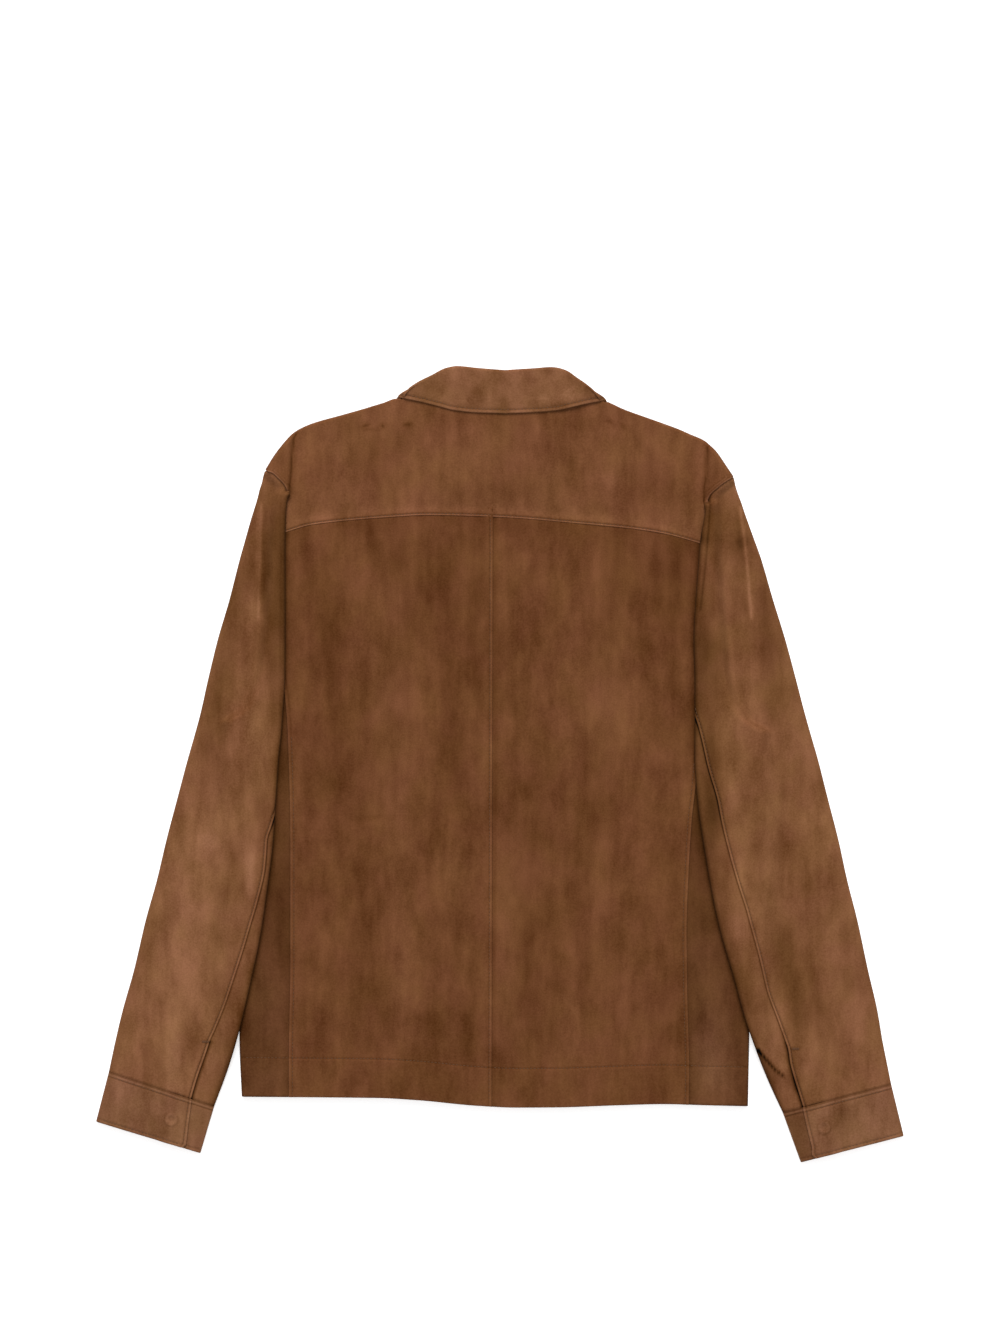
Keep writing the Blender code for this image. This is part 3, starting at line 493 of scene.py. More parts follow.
TABLE_LEVEL = 0.6
DARK_BROWN = (0.109, 0.0405, 0.0138)
body_fold = {
    -1: line(
        (-326, 253), (-282.5, 255), (-232, 256), (-134, 257.5), (-36, 259.5), (40.5, 261),
    ),
    1: line(
        (-334.5, 242), (-282.5, 243), (-232, 244), (-134, 247), (-36, 250), (31, 252),
    ),
}
underarm = {-1: 40.5, 1: 31.0}
SIDE_CREASES = [
    (-228, 90, -232, -200, 9, -0.5), (-218, -100, -220, -260, 6, 0.35),
    (-246, 0, -246, -300, 6, 0.4), (222, 60, 214, -150, 8, -0.5), (205, -120, 203, -280, 6, 0.35),
    (234, 0, 232, -300, 6, 0.4),
]
# Stains, with painted shade in the creases' troughs and where the panel turns round the body's
# edge, each from a place to a place, with its half width and its tone.
SIDE_STAINS_AND_SHADING = [
    (-222, 60, -226, -120, 14, -0.10), (-232, -180, -232, -260, 16, 0.05),
    (-250, 20, -252, -320, 6, -0.06), (206, -20, 206, -120, 14, 0.03),
    (206, -230, 208, -320, 17, 0.16), (-226, -300, -222, -320, 16, 0.08),
    (238, 20, 236, -330, 6, -0.06), (236, -225, 240, -268, 8, -0.14),
    (-213, -90, -214, -205, 13, -0.18), (193, -20, 196, -160, 12, -0.20),
    (200, -262, 212, -322, 17, 0.24),
]


def side_panel(side, name):
    """One side, from under the back's seam round the body's edge to the front's seam."""
    radius = (BACK_LEVEL - TABLE_LEVEL) / 2

    def turn(y):
        return body_fold[side](y) - FOLD_EDGE - radius

    def place(stretch, value, y):
        if stretch == "round":
            out = turn(y) + radius * np.cos(value)
            return out, TABLE_LEVEL + radius * (1 + np.sin(value)) + 0 * y
        start = side_seam[side](y) - (LAP if stretch == "back" else 0)
        level = BACK_LEVEL if stretch == "back" else TABLE_LEVEL
        return mix(start, turn(y), value), level + 0 * y

    def top(stretch, value):
        low, high = underarm[side], underarm[side] + 110.0
        for _ in range(30):
            y = (low + high) / 2
            if place(stretch, value, y)[0] < armhole[side](y) - 1:
                low = y
            else:
                high = y
        return low if low > underarm[side] + 2.5 else underarm[side] - 3.0

    spots = [("back", k) for k in rows_at(50, 2.2, (0, 12, 1.2))]
    spots += [("round", math.pi / 2 - math.pi * k / 14) for k in range(15)]
    spots += [("front", k) for k in rows_at(40, 4.0)[::-1]]
    up = rows_at(400, 2.6, (0, 4, 0.7), (35, 42, 0.7))
    columns = []
    for stretch, value in spots:
        highest = top(stretch, value)
        y = mix(BODY_SPAN[0], highest, up)
        for _ in range(6):
            out, z = place(stretch, value, y)
            y = mix(hem_line(side * out), highest, up)
        out, z = place(stretch, value, y)
        columns.append(np.stack([side * out, y, z], axis=1))
    net = np.stack(columns, axis=1)
    x, y, z = net[..., 0], net[..., 1], net[..., 2]
    facing_up = soft(z, TABLE_LEVEL + radius, BACK_LEVEL)
    beside = side * x - side_seam[side](y)
    above = y - hem_line(x)
    lift = marks_at(x, y, SIDE_CREASES) + hem_build(above) - LAP_DIP * (1 - soft(beside, 0, 4))
    z += facing_up * (lift + pucker(x, above - HEM_DEPTH) - 0.5 * (1 - soft(above, 0, 2)))
    # Painted shadow beside the back's lapped edge, painted shade in the hem row's groove, and the
    # sleeve's painted shadow near its edge.
    tone = 1 + marks_at(x, y, SIDE_STAINS_AND_SHADING) - 0.04 * bump(beside, 1.3) - 0.06 * bump(beside, 6)
    tone -= 0.26 * bump(above - HEM_DEPTH, 0.8) * facing_up
    tone -= by_sleeve(side, x, y) * facing_up
    return shell(net, tone, side_suede, name, "side_suede")


side_suede = suede("side_suede", DARK_BROWN)
side_left = side_panel(-1, "side_left")
side_right = side_panel(1, "side_right")
side_left_stitches = sew(side_left, "side_left_stitches", hem_row(-249, -207, 30))
side_right_stitches = sew(side_right, "side_right_stitches", hem_row(185, 239, 30))

# Fronts
# Two plain fronts under the body, the right one's edge on the left one's. The collar's front
# ends lie under them and lift them a little.

CENTRE_FRONT = -6.0
FRONT_OVERLAP = 25.0
NECK_MIDDLE = 4.5
COLLAR_LEAF = [(104, 352), (100, 322), (78, 268)]
LEAF_THICKNESS = 2.7
neck_front_line = line(
    (-95.5, 326), (-76, 303), (-50, 283), (-22, 274), (3, 271), (28, 273), (56, 282), (82, 301),
    (104.5, 323),
)


def leaf_lift(x, y):
    """How far the collar's front ends, which lie under them, lift the fronts and the yoke."""
    gap = distance_to(COLLAR_LEAF, abs(x - NECK_MIDDLE), y)
    return LEAF_THICKNESS * (1 - soft(gap, 38, 60))


def front_top(x):
    """Top of a front: the seam to the yoke, and inside the neck's side the neckline."""
    out = abs(x)
    neck = np.where(x < 0, 95.5, 104.5)
    start = neck_front_line(np.where(x < 0, -95.5, 104.5))
    return np.where(out < neck, neck_front_line(x), start - 0.56 * (out - neck))


def front_panel(side, name):
    """One front, flat on the table from its side seam to past the centre."""
    reach = CENTRE_FRONT - side * FRONT_OVERLAP
    u, v = np.meshgrid(rows_at(230, 4.5, (170, 230, 2.5)), rows_at(620, 4.5))
    y = mix(*BODY_SPAN, v)
    for _ in range(30):
        edge = side * np.minimum(side_seam[side](y), armhole[side](y)) - side * 0.2
        x = mix(edge, reach, u)
        y = (y + mix(hem_line(x), front_top(x) - 0.2, v)) / 2
    z = TABLE_LEVEL + leaf_lift(x, y)
    if side > 0:
        start = CENTRE_FRONT + FRONT_OVERLAP
        z += 1.6 * (1 - soft(x, start + 1.5, start + 22))
    # Painted shade in the hem row's groove.
    tone = 1 - 0.2 * bump(y - hem_line(x) - HEM_DEPTH, 0.9)
    return shell(np.stack([x, y, z], axis=2), tone, body_suede, name, "body_suede")


front_left = front_panel(-1, "front_left")
front_right = front_panel(1, "front_right")

# Yoke
# One piece of suede over both shoulders. Its lower edge laps over the backs under a row of
# stitches, it rolls over the shoulders, and it ends at the tops of the fronts.

BACK_NECK = line(
    (-95.5, 357.5), (-84, 359), (-68, 357), (-47, 353.5), (-23, 350), (3, 349), (30, 350),
    (54, 353), (76, 356), (92, 356.5), (104.5, 354),
)
NECK_SIDE = {-1: 95.5, 1: 100.5}
YOKE_ROW = 1.6
ARMHOLE_ROW = 1.5
YOKE_RISE_FROM = {-1: 262.0, 1: 254.0}
YOKE_FRONT_LEVEL = TABLE_LEVEL + 0.3
shoulder_line = {
    -1: line(
        (90, 356.6), (98, 356.6), (104, 356.2), (109, 354.5), (113, 352.8), (119.5, 350.8),
        (139, 344.9), (160.5, 339), (181.5, 333.1), (195, 327.6), (204, 321.8), (209.5, 315.9),
        (214.5, 310), (222.5, 299.2), (230, 286.5),
    ),
    1: line(
        (94, 354), (103, 353.6), (110, 350.9), (116, 348), (123.5, 344.8), (140, 338.9),
        (157, 332.9), (172.5, 327.3), (186, 321.4), (199, 315.7), (206, 309.8), (211.5, 304.2),
        (219.5, 292.6), (227.6, 280.4),
    ),
}
shoulder_run = {
    -1: [(-x, float(shoulder_line[-1](x))) for x in np.linspace(90, 230, 60)],
    1: [(x, float(shoulder_line[1](x))) for x in np.linspace(94, 227.6, 60)],
}
YOKE_CREASES = [
    (-190, 300, -150, 250, 16, 0.5), (-120, 340, -100, 255, 18, -0.4),
    (-60, 330, -70, 255, 22, 0.4), (20, 335, 10, 255, 20, -0.4), (80, 330, 100, 245, 20, 0.45),
    (150, 310, 130, 240, 14, -0.4), (196, 262, 150, 300, 10, 0.4),
]
# Stains, with painted shade in the creases' troughs and painted highlights on their ridges, each
# from a place to a place, with its half width and its tone.
YOKE_STAINS_AND_SHADING = [
    (-135, 328, -128, 331, 2.2, -0.44), (-117, 329, -113, 330, 2.5, -0.50),
    (-95, 330, -87, 331, 2.3, -0.42), (-134, 325, -118, 326, 1.3, -0.24),
    (104, 335, 109, 333, 2.3, -0.36), (117, 331, 122, 328, 2.3, -0.32),
    (178, 234, 190, 228, 11, 0.16), (-190, 250, -120, 262, 13, 0.06),
    (-158, 318, -155, 262, 9, 0.08), (-116, 322, -120, 282, 12, -0.08),
    (113, 284, 106, 266, 11, 0.12), (49, 290, 48, 272, 10, 0.09), (72, 300, 74, 262, 8, -0.05),
    (-40, 256, 120, 250, 12, 0.06), (-60, 300, 60, 300, 34, 0.03),
    (-180, 300, -200, 270, 13, -0.08), (150, 290, 190, 270, 20, -0.07),
    (-70, 338, 60, 338, 8, -0.10),
]
SHOULDER_CREASE = {
    -1: [(-199.0, 322.0), (-202.0, 317.0), (-204.0, 297.0), (-205.0, 279.0), (-207.5, 259.0)],
    1: [(202.0, 309.0), (201.3, 297.0), (201.0, 281.0), (199.0, 270.0), (198.5, 255.0)],
}


def armhole_run(side, low):
    """Points up the armhole's edge, from a height to its tip."""
    y = np.linspace(low, 286.0, 60)
    return list(zip(side * armhole[side](y), y))


def yoke_level(side, x, y):
    """The yoke rises towards the sleeve beyond a crease beside the armhole."""
    crease, start = armhole[side](265) - 4, YOKE_RISE_FROM[side]
    rise = 2.6 * soft(abs(x), crease - 3, crease + 3) * soft(y, start, start + 8)
    return BACK_LEVEL + neck_swell(x, y) + rise


def yoke_column(w):
    """One column of the yoke, up and over the shoulder, and the shares at the turn's two ends."""
    side = -1 if w < 0 else 1

    def column(y):
        return side * abs(w) * (armhole[side](y) - 0.2)

    low = 230.0
    for _ in range(12):
        low = float(yoke_line(column(low)))
    top_x = float(column(300.0))
    beyond = abs(top_x) - NECK_SIDE[side]
    if beyond < 1.5:
        y = np.linspace(low, float(BACK_NECK(top_x)) - 0.3, 80)
        return np.stack([column(y), y, yoke_level(side, column(y), y)], axis=1), 0.97, 0.985
    ridge = shoulder_run[side]
    reach = np.linspace(low, 372.0, 500)
    gap = distance_to(ridge, column(reach), reach)
    radius = 2.6
    for _ in range(4):
        k = max(int(np.argmax(gap < FOLD_EDGE + radius)), 1)
        past = (gap[k - 1] - FOLD_EDGE - radius) / (gap[k - 1] - gap[k])
        turn_y = mix(reach[k - 1], reach[k], past)
        turn = np.array([column(turn_y), turn_y])
        front_z = YOKE_FRONT_LEVEL + float(leaf_lift(*turn))
        back_z = float(yoke_level(side, *turn))
        radius = (back_z - front_z) / 2
    around = 0.2 * np.array([(1, -1, 0, 0), (0, 0, 1, -1)])
    nudge = distance_to(ridge, turn[0] + around[0], turn[1] + around[1])
    away = np.array([nudge[1] - nudge[0], nudge[3] - nudge[2]])
    away /= np.linalg.norm(away)
    y = np.linspace(low, turn_y, 120)
    flat = np.stack([column(y), y, yoke_level(side, column(y), y)], axis=1)
    angle = math.pi / 2 - math.pi * np.arange(1, 16) / 16
    x, y = turn[:, None] + away[:, None] * radius * np.cos(angle)
    bend = np.stack([x, y, front_z + radius * (1 + np.sin(angle))], axis=1)
    end = float(front_top(column(turn[1])))
    for _ in range(40):
        end = (end + float(front_top(column(end)))) / 2
    end = mix(turn[1] - 2, end, float(soft(beyond, 1.5, 8.0)))
    y = np.linspace(turn[1], end, 40)
    under = np.stack([column(y), y, YOKE_FRONT_LEVEL + leaf_lift(column(y), y)], axis=1)
    path = np.concatenate([flat, bend, under])
    share = np.cumsum(np.linalg.norm(np.diff(path, axis=0), axis=1))
    share /= share[-1]
    return path, share[len(flat) - 2], share[len(flat) + len(bend) - 1]


def along_path(path, fractions):
    """Points at the given fractions of a path's length."""
    length = length_along(path)
    at = np.asarray(fractions) * length[-1]
    return np.stack([np.interp(at, length, path[:, k]) for k in range(path.shape[1])], axis=1)


def make_yoke():
    """The yoke's columns from armhole to armhole, with the lap, the turn and the seams on them."""
    lap = np.array([0, 0.6, 1.3, 2.0, 2.7, 3.4, 4.2, 5.2, 6.5, 8.0, 9.5]) / 110
    columns = []
    for w in np.concatenate([-rows_at(216, 2.0)[:0:-1], rows_at(216, 2.0)]):
        path, turned, rolled = yoke_column(w)
        start = lap[-1] * turned
        fractions = np.concatenate([
            lap * turned,
            mix(start, turned * 0.95, np.linspace(0, 1, 40)[1:]),
            mix(turned * 0.95, turned, np.linspace(0, 1, 8)[1:]),
            mix(turned, rolled, np.linspace(0, 1, 15)[1:]),
            mix(rolled, 1, np.linspace(0, 1, 17)[1:]),
        ])
        columns.append(along_path(path, fractions))
    net = np.stack(columns, axis=0)
    x, y, z = net[..., 0], net[..., 1], net[..., 2]
    facing_up = soft(z, 3.0, 5.6)
    above = y - yoke_line(x)
    lift = marks_at(x, y, YOKE_CREASES) + (LAP_RISE - 0.3) * (1 - soft(above, 2, 9))
    lift += pucker(x, above - YOKE_ROW) - 0.3 * bump(above - YOKE_ROW, 0.7)
    crease = np.minimum(*(distance_to(SHOULDER_CREASE[side], x, y) for side in (-1, 1)))
    holes = [armhole_run(side, YOKE_RISE_FROM[side]) for side in (-1, 1)]
    arm = np.minimum(*(distance_to(hole, x, y) for hole in holes))
    lift += 0.4 * (1 - soft(arm, 2, 8)) - 0.3 * bump(arm - 1.4, 0.7)
    lift -= 1.1 * bump(crease, 1.6)
    z += facing_up * lift
    # Painted light on the yoke: a highlight on its lapped edge, shade in the stitch row's groove,
    # shade along the shoulder creases, and highlights and groove shade across the armhole's stitch
    # rows. A lighter band runs above the lapped edge.
    tone = 1 + facing_up * (marks_at(x, y, YOKE_STAINS_AND_SHADING) + 0.10 * bump(above - 6, 5))
    tone += facing_up * (0.50 * bump(above - 0.5, 0.5) - 0.34 * bump(above - 1.9, 0.8))
    tone -= facing_up * (0.42 * bump(crease, 1.1) + 0.12 * bump(crease, 4.0))
    tone += facing_up * (0.55 * bump(arm - 0.2, 0.7) - 0.22 * bump(arm - 1.5, 0.5))
    tone += facing_up * (0.26 * bump(arm - 2.6, 0.6) - 0.18 * bump(arm - 3.7, 0.6))
    return shell(net, tone, body_suede, "yoke", "body_suede")


yoke = make_yoke()
yoke_runs = [[(x, yoke_line(x) + YOKE_ROW) for x in np.linspace(-211, 200, 200)]]
for side in (-1, 1):
    hole = np.array(armhole_run(side, YOKE_RISE_FROM[side] + 2))
    slant = np.gradient(hole, axis=0)
    slant /= np.linalg.norm(slant, axis=1, keepdims=True)
    inward = np.stack([slant[:, 1], -slant[:, 0]], axis=1) * side
    yoke_runs.append([spot for spot in hole + inward * ARMHOLE_ROW if abs(spot[0]) > 207])
yoke_stitches = sew(yoke, "yoke_stitches", *yoke_runs)

# Sleeves
# Each sleeve is an outer piece that runs round from the hidden front seam over the top of the arm
# to the back seam, and an under piece. It is set into the armhole, folded flat and drawn down.

TUCK_LEVEL = 8.0
SEAM_ROW = 2.1
TOP_COLUMNS = (22, 12, 56, 12, 10)
UNDER_COLUMNS = (4, 8, 12, 12, 14, 12)
VENT_OPENS = (268, 276)
BAR_TACK = {-1: (-291.0, -281.0, -272.0), 1: (285.0, 292.0, -279.0)}
SEWN_FROM = {-1: -48.0, 1: 56.0}
LIGHT_BROWN = (0.192, 0.0780, 0.0312)
# Above this y the sleeve's head goes under the yoke's edge.
CAP = {-1: 265.5, 1: 255.0}
# Rings down each sleeve: out and y of its outer edge, then out and y of its inner edge.
SLEEVE_TABLE = {
    -1: [
        (230.6, 285, 206, 285.2), (232.3, 279.5, 204.5, 280), (233.5, 274, 203, 274.5),
        (235.5, 268, 202, 268), (238, 258, 207, 259), (241, 248, 208.5, 247.5),
        (244, 238.5, 209, 236.5), (249.5, 219, 209.5, 218), (255, 199.5, 209.5, 199.5),
        (265.5, 158.5, 209.5, 158.5), (276.5, 121, 209.5, 121), (286, 82, 210, 82),
        (293.5, 48.5, 212, 49.5), (299, 28, 213.5, 29), (306, 3.5, 216, 5.5),
        (316.5, -36, 219, -40.5), (326.5, -74, 221.5, -78), (336, -114, 226.5, -118),
        (347, -153.5, 233, -164), (358.5, -202.5, 244, -217), (369.5, -241.5, 255.5, -265),
        (376.5, -271, 265, -296.5), (383, -301.5, 279.5, -335.5),
    ],
    1: [
        (228.2, 279, 200, 279.2), (229.4, 273, 197, 273.5), (230.9, 267.5, 195, 267.5),
        (233.3, 260.5, 194, 260), (236, 253.5, 198, 252), (238.4, 246, 199, 245.5),
        (241, 238.5, 198, 238.5), (248, 219, 194.5, 218), (255, 199.5, 193, 199.5),
        (266.5, 160, 190, 160), (278.5, 121, 188, 121), (289, 82, 189, 80), (296.5, 53, 189, 53),
        (303, 29.5, 189, 29.5), (310.5, 3.5, 189, 5.5), (320.5, -36, 192, -38.5),
        (330.5, -75, 197.5, -78), (339, -114, 204, -117), (349, -153.5, 212.5, -158.5),
        (359.5, -202.5, 226.5, -207.5), (368.5, -241.5, 238, -248.5), (373.5, -271, 252, -288),
        (377.5, -291, 263, -314.5), (382, -313.5, 275.5, -341.4),
    ],
}
# How far along the cloth the top piece ends before the middle of the inner fold, at y.
back_seam = {
    -1: line(
        (121, -8), (-20, -4), (-38, -2), (-60, 3), (-76, 6.5), (-104.5, 5.5), (-135.5, 8.5),
        (-159.5, 12), (-192.5, 15.5), (-237.5, 20.3), (-269, 25.5), (-277, 27), (-302.5, 27.5),
        (-335, 24.5),
    ),
    1: line(
        (101.5, -10), (72, -5.5), (52, -1), (35, 4.5), (-6.5, 14), (-39.5, 20.5), (-64, 22),
        (-90.5, 24.5), (-117, 27.5), (-148.5, 31), (-174, 31.6), (-221, 30), (-252.5, 32.5),
        (-278.5, 32.8), (-299.5, 28.5), (-316, 25.5), (-343, 21),
    ),
}
BACK_SEAM_TOP = {-1: 121.0, 1: 101.5}
SLEEVE_CREASES = [
    (-237, 250, -239, 150, 4, 0.55), (-226, 240, -228, 120, 5, -0.7),
    (-252, 180, -262, 60, 9, -0.6), (-240, 60, -262, -60, 12, 0.7),
    (-285, 20, -262, -110, 14, -0.6), (-310, -40, -322, -150, 12, 0.6),
    (-262, -130, -290, -230, 14, -0.6), (-330, -180, -345, -270, 12, -0.5),
    (-300, -200, -325, -290, 12, 0.6), (234, 250, 241, 190, 4, 0.6), (241, 190, 246, 130, 5, 0.4),
    (224, 240, 226, 120, 6, -0.7), (197, 256, 199, 190, 3.5, 0.5), (258, 170, 268, 40, 10, -0.6),
    (225, 60, 250, -60, 12, 0.7), (285, 20, 290, -110, 14, -0.6), (310, -30, 325, -150, 12, 0.6),
    (262, -120, 290, -220, 14, -0.6), (330, -180, 345, -270, 12, -0.5),
    (300, -200, 325, -290, 12, 0.6), (252, -282, 276, -307, 4, 0.9),
]
# Stains, with painted highlights on the ridges and painted shade along the creases and the inner
# folds, each from a place to a place, with its half width and its tone.
SLEEVE_STAINS_AND_SHADING = [
    (-222, 268, -226, 90, 15, -0.36), (-252, 225, -262, 90, 18, -0.20),
    (-236, 255, -239, 165, 1.8, 0.20), (-214, 260, -215, 40, 1.2, -0.12),
    (-240, 60, -250, -40, 16, -0.05), (-246, 150, -246, 10, 7, 0.12),
    (-272, 120, -290, -30, 11, -0.13), (-318, -220, -316, -325, 9, 0.14),
    (238, -120, 246, -190, 9, 0.13), (290, -80, 308, -235, 17, -0.11),
    (318, -250, 330, -300, 14, 0.08), (-300, -20, -330, -240, 30, 0.06),
    (-300, -100, -300, -250, 14, 0.07), (-330, -60, -350, -220, 10, -0.05),
    (-225, -40, -250, -200, 8, -0.05), (230, 240, 232, 120, 12, -0.14),
    (255, 190, 268, 100, 16, -0.05), (200, 240, 202, 170, 6, 0.10),
    (250, 200, 300, -250, 40, -0.07), (-268, 120, -284, -25, 12, -0.16),
    (-240, 165, -236, 128, 8, 0.22), (-222, 100, -222, 45, 6, -0.20), (-244, 48, -240, 12, 8, 0.16),
    (-234, -32, -237, -58, 6, -0.24), (-284, -68, -286, -84, 11, 0.26),
    (-243, -85, -245, -130, 6, 0.32), (-282, -282, -286, -300, 9, 0.20),
    (-318, -270, -324, -335, 9, 0.18), (-347, -272, -345, -292, 8, -0.16),
    (190, 222, 204, 216, 6, -0.24), (234, 222, 240, 210, 12, -0.28), (254, 182, 266, 40, 10, -0.18),
    (203, 135, 212, 60, 15, -0.30), (204, 45, 210, -92, 9, -0.30), (206, -30, 210, -60, 8, -0.16),
    (272, -160, 292, -262, 12, -0.30), (227, -150, 232, -172, 6, 0.22),
    (306, -225, 338, -312, 18, -0.13), (283, -306, 292, -322, 6, -0.24),
    (238, 192, 243, 150, 5, 0.18), (330, -100, 350, -220, 12, -0.05),
    (245, 245, 247, 200, 6, -0.06),
]
# Shades and light edges along runs of points, each with its half width and its tone.
SLEEVE_SHADES = [
    (
        [(210, 250), (199, 121), (197, 62), (201, -16), (208, -95), (224, -173), (243, -232)],
        14, -0.19,
    ),
    ([(205.0, 262), (203.5, 240), (200.5, 200), (195, 150)], 1.3, -0.30),
    ([(234.2, 250), (237.6, 222), (240.4, 199), (245, 142)], 1.5, 0.36),
    ([(230.0, 248), (233.4, 220), (236.2, 197), (240, 150)], 3.0, -0.14),
    ([(-233.6, 252), (-236.6, 142)], 1.5, 0.34),
    ([(-229.4, 250), (-232.4, 150)], 3.0, -0.12),
    ([(-291, -272), (-281, -272)], 1.3, -0.34),
    ([(284, -279), (292, -279)], 1.3, -0.34),
    ([(251, -279), (259, -289), (268, -299), (277, -306)], 1.4, -0.85),
    ([(252, 235), (264, 150), (276, 60)], 32, -0.07),
    ([(253, -275), (265, -287), (277, -297)], 3.0, 0.10),
    ([(276, -268), (288, -300), (296, -335)], 4.0, -0.12),
    ([(-278, -276), (-286, -305), (-296, -328)], 5.0, -0.10),
]


def climb_width(side, y):
    """How wide the sleeve's lower layer climbs from the table onto the body."""
    return mix(5.0, 22.0, soft(underarm[side] - y, 0, 60))


def lower_level(side, out, y):
    """Height of the sleeve's lower layer, on the table and farther in on the body's side."""
    fold = body_fold[side](y)
    return mix(TABLE_LEVEL, TUCK_LEVEL, 1 - soft(out, fold - 1, fold + climb_width(side, y)))


def upper_level(side, out, y, share):
    """Height of the sleeve's upper layer at a share of its width."""
    above = y > underarm[side]
    edge = np.where(above, armhole[side](y) + 2, body_fold[side](y))
    fade = np.where(above, 13.0, climb_width(side, y) + 10)
    lift = mix(TUCK_LEVEL - 0.9, TUCK_LEVEL - 4.6, soft(y, CAP[side] - 4, CAP[side] + 4))
    on_body = 1 - soft(out, edge, edge + fade)
    puff = 1.1 * np.sin(math.pi * np.clip(share, 0, 1)) * (1 - soft(y, CAP[side] - 30, CAP[side]))
    level = 4.0 + lift * on_body + puff
    tucked = 1 - soft(out, armhole[side](y) + 0.4, armhole[side](y) + 4)
    tucked *= soft(y, CAP[side] - 2.5, CAP[side] + 1)
    return mix(level, yoke_level(side, side * out, y) - 1.4, tucked)


class Section:
    """One flattened ring of a sleeve: lengths round it against distance d from its outer edge."""

    def __init__(self, side, row):
        self.side = side
        self.outer, inner = np.array(row[:2]), np.array(row[2:])
        self.width = float(np.linalg.norm(inner - self.outer))
        self.way = (inner - self.outer) / self.width
        self.above = (row[1] + row[3]) / 2 > underarm[side]
        d0, r0, z0 = self.bend(0.0, 1, self.first)
        d1, r1, z1 = self.bend(self.width, -1, self.second)
        self.bends = (d0, d1)
        flat, arc = np.linspace(d1, d0, 70), math.pi * (np.arange(1, 18) / 18 - 0.5)
        stretches = [
            (flat, self.first(flat)),
            (d0 - r0 * np.cos(arc), z0 + r0 * np.sin(arc)),
            (flat[::-1], self.upper(flat[::-1])),
            (d1 + r1 * np.cos(arc), z1 - r1 * np.sin(arc)),
            (flat, self.second(flat)),
        ]
        self.points = np.concatenate([np.stack(np.broadcast_arrays(*s), axis=1) for s in stretches])
        ends = np.cumsum([len(s[0]) for s in stretches])
        self.marks = [ends[0] - 1, ends[1], ends[2] - 1, ends[3]]
        self.length = length_along(self.points)

    def place(self, d):
        return self.outer[0] + self.way[0] * d, self.outer[1] + self.way[1] * d

    def first(self, d):
        out, y = self.place(d)
        return np.full_like(out, TABLE_LEVEL) if self.above else lower_level(self.side, out, y)

    def second(self, d):
        out, y = self.place(d)
        return np.full_like(out, TUCK_LEVEL) if self.above else lower_level(self.side, out, y)

    def upper(self, d):
        return upper_level(self.side, *self.place(d), d / self.width)

    def bend(self, near, direction, under):
        radius = 2.0
        for _ in range(6):
            d = near + direction * (FOLD_EDGE + radius)
            radius = max(float(self.upper(d) - under(d)) / 2, 1.0)
        d = near + direction * (FOLD_EDGE + radius)
        return d, radius, float(self.upper(d) + under(d)) / 2

    def station(self, d, stretch):
        """Length round the ring at distance d on its first, upper or second stretch."""
        low, high = {
            "first": (0, self.marks[0]),
            "upper": (self.marks[1], self.marks[2]),
            "second": (self.marks[3], len(self.points) - 1),
        }[stretch]
        ds, lengths = self.points[low : high + 1, 0], self.length[low : high + 1]
        if ds[0] > ds[-1]:
            ds, lengths = ds[::-1], lengths[::-1]
        return float(np.interp(d, ds, lengths))

    def crossing(self, target):
        """Distance d where the ring crosses a line given as out at y."""
        d = 30.0
        for _ in range(12):
            d = (float(target(self.outer[1] + self.way[1] * d)) - self.outer[0]) / self.way[0]
        return d

    def row(self, lengths):
        d = np.interp(lengths, self.length, self.points[:, 0])
        z = np.interp(lengths, self.length, self.points[:, 1])
        out, y = self.place(d)
        return np.stack([self.side * out, y, z], axis=1)


def knots_to_lengths(knots, counts):
    """Lengths from knot to knot, with the given number of columns in each stretch."""
    knots = list(knots)
    last = knots[-1]
    for k in range(1, len(knots)):
        knots[k] = max(knots[k], knots[k - 1] + counts[k - 1] * 0.12)
    knots[-1] = last
    for k in range(len(knots) - 2, 0, -1):
        knots[k] = min(knots[k], knots[k + 1] - counts[k] * 0.12)
    stretches = [np.linspace(a, b, n, endpoint=False) for a, b, n in zip(knots, knots[1:], counts)]
    return np.concatenate([*stretches, [last]])


def sleeve_rows(side, pitch):
    """The table's rings with others between them, evenly down the sleeve."""
    table = np.array(SLEEVE_TABLE[side])
    down = length_along(table[:, :2])
    fields = [line(*zip(down, table[:, k])) for k in range(4)]
    at = rows_at(down[-1], pitch, (0, 30, 1.0)) * down[-1]
    return np.stack([field(at) for field in fields], axis=1)


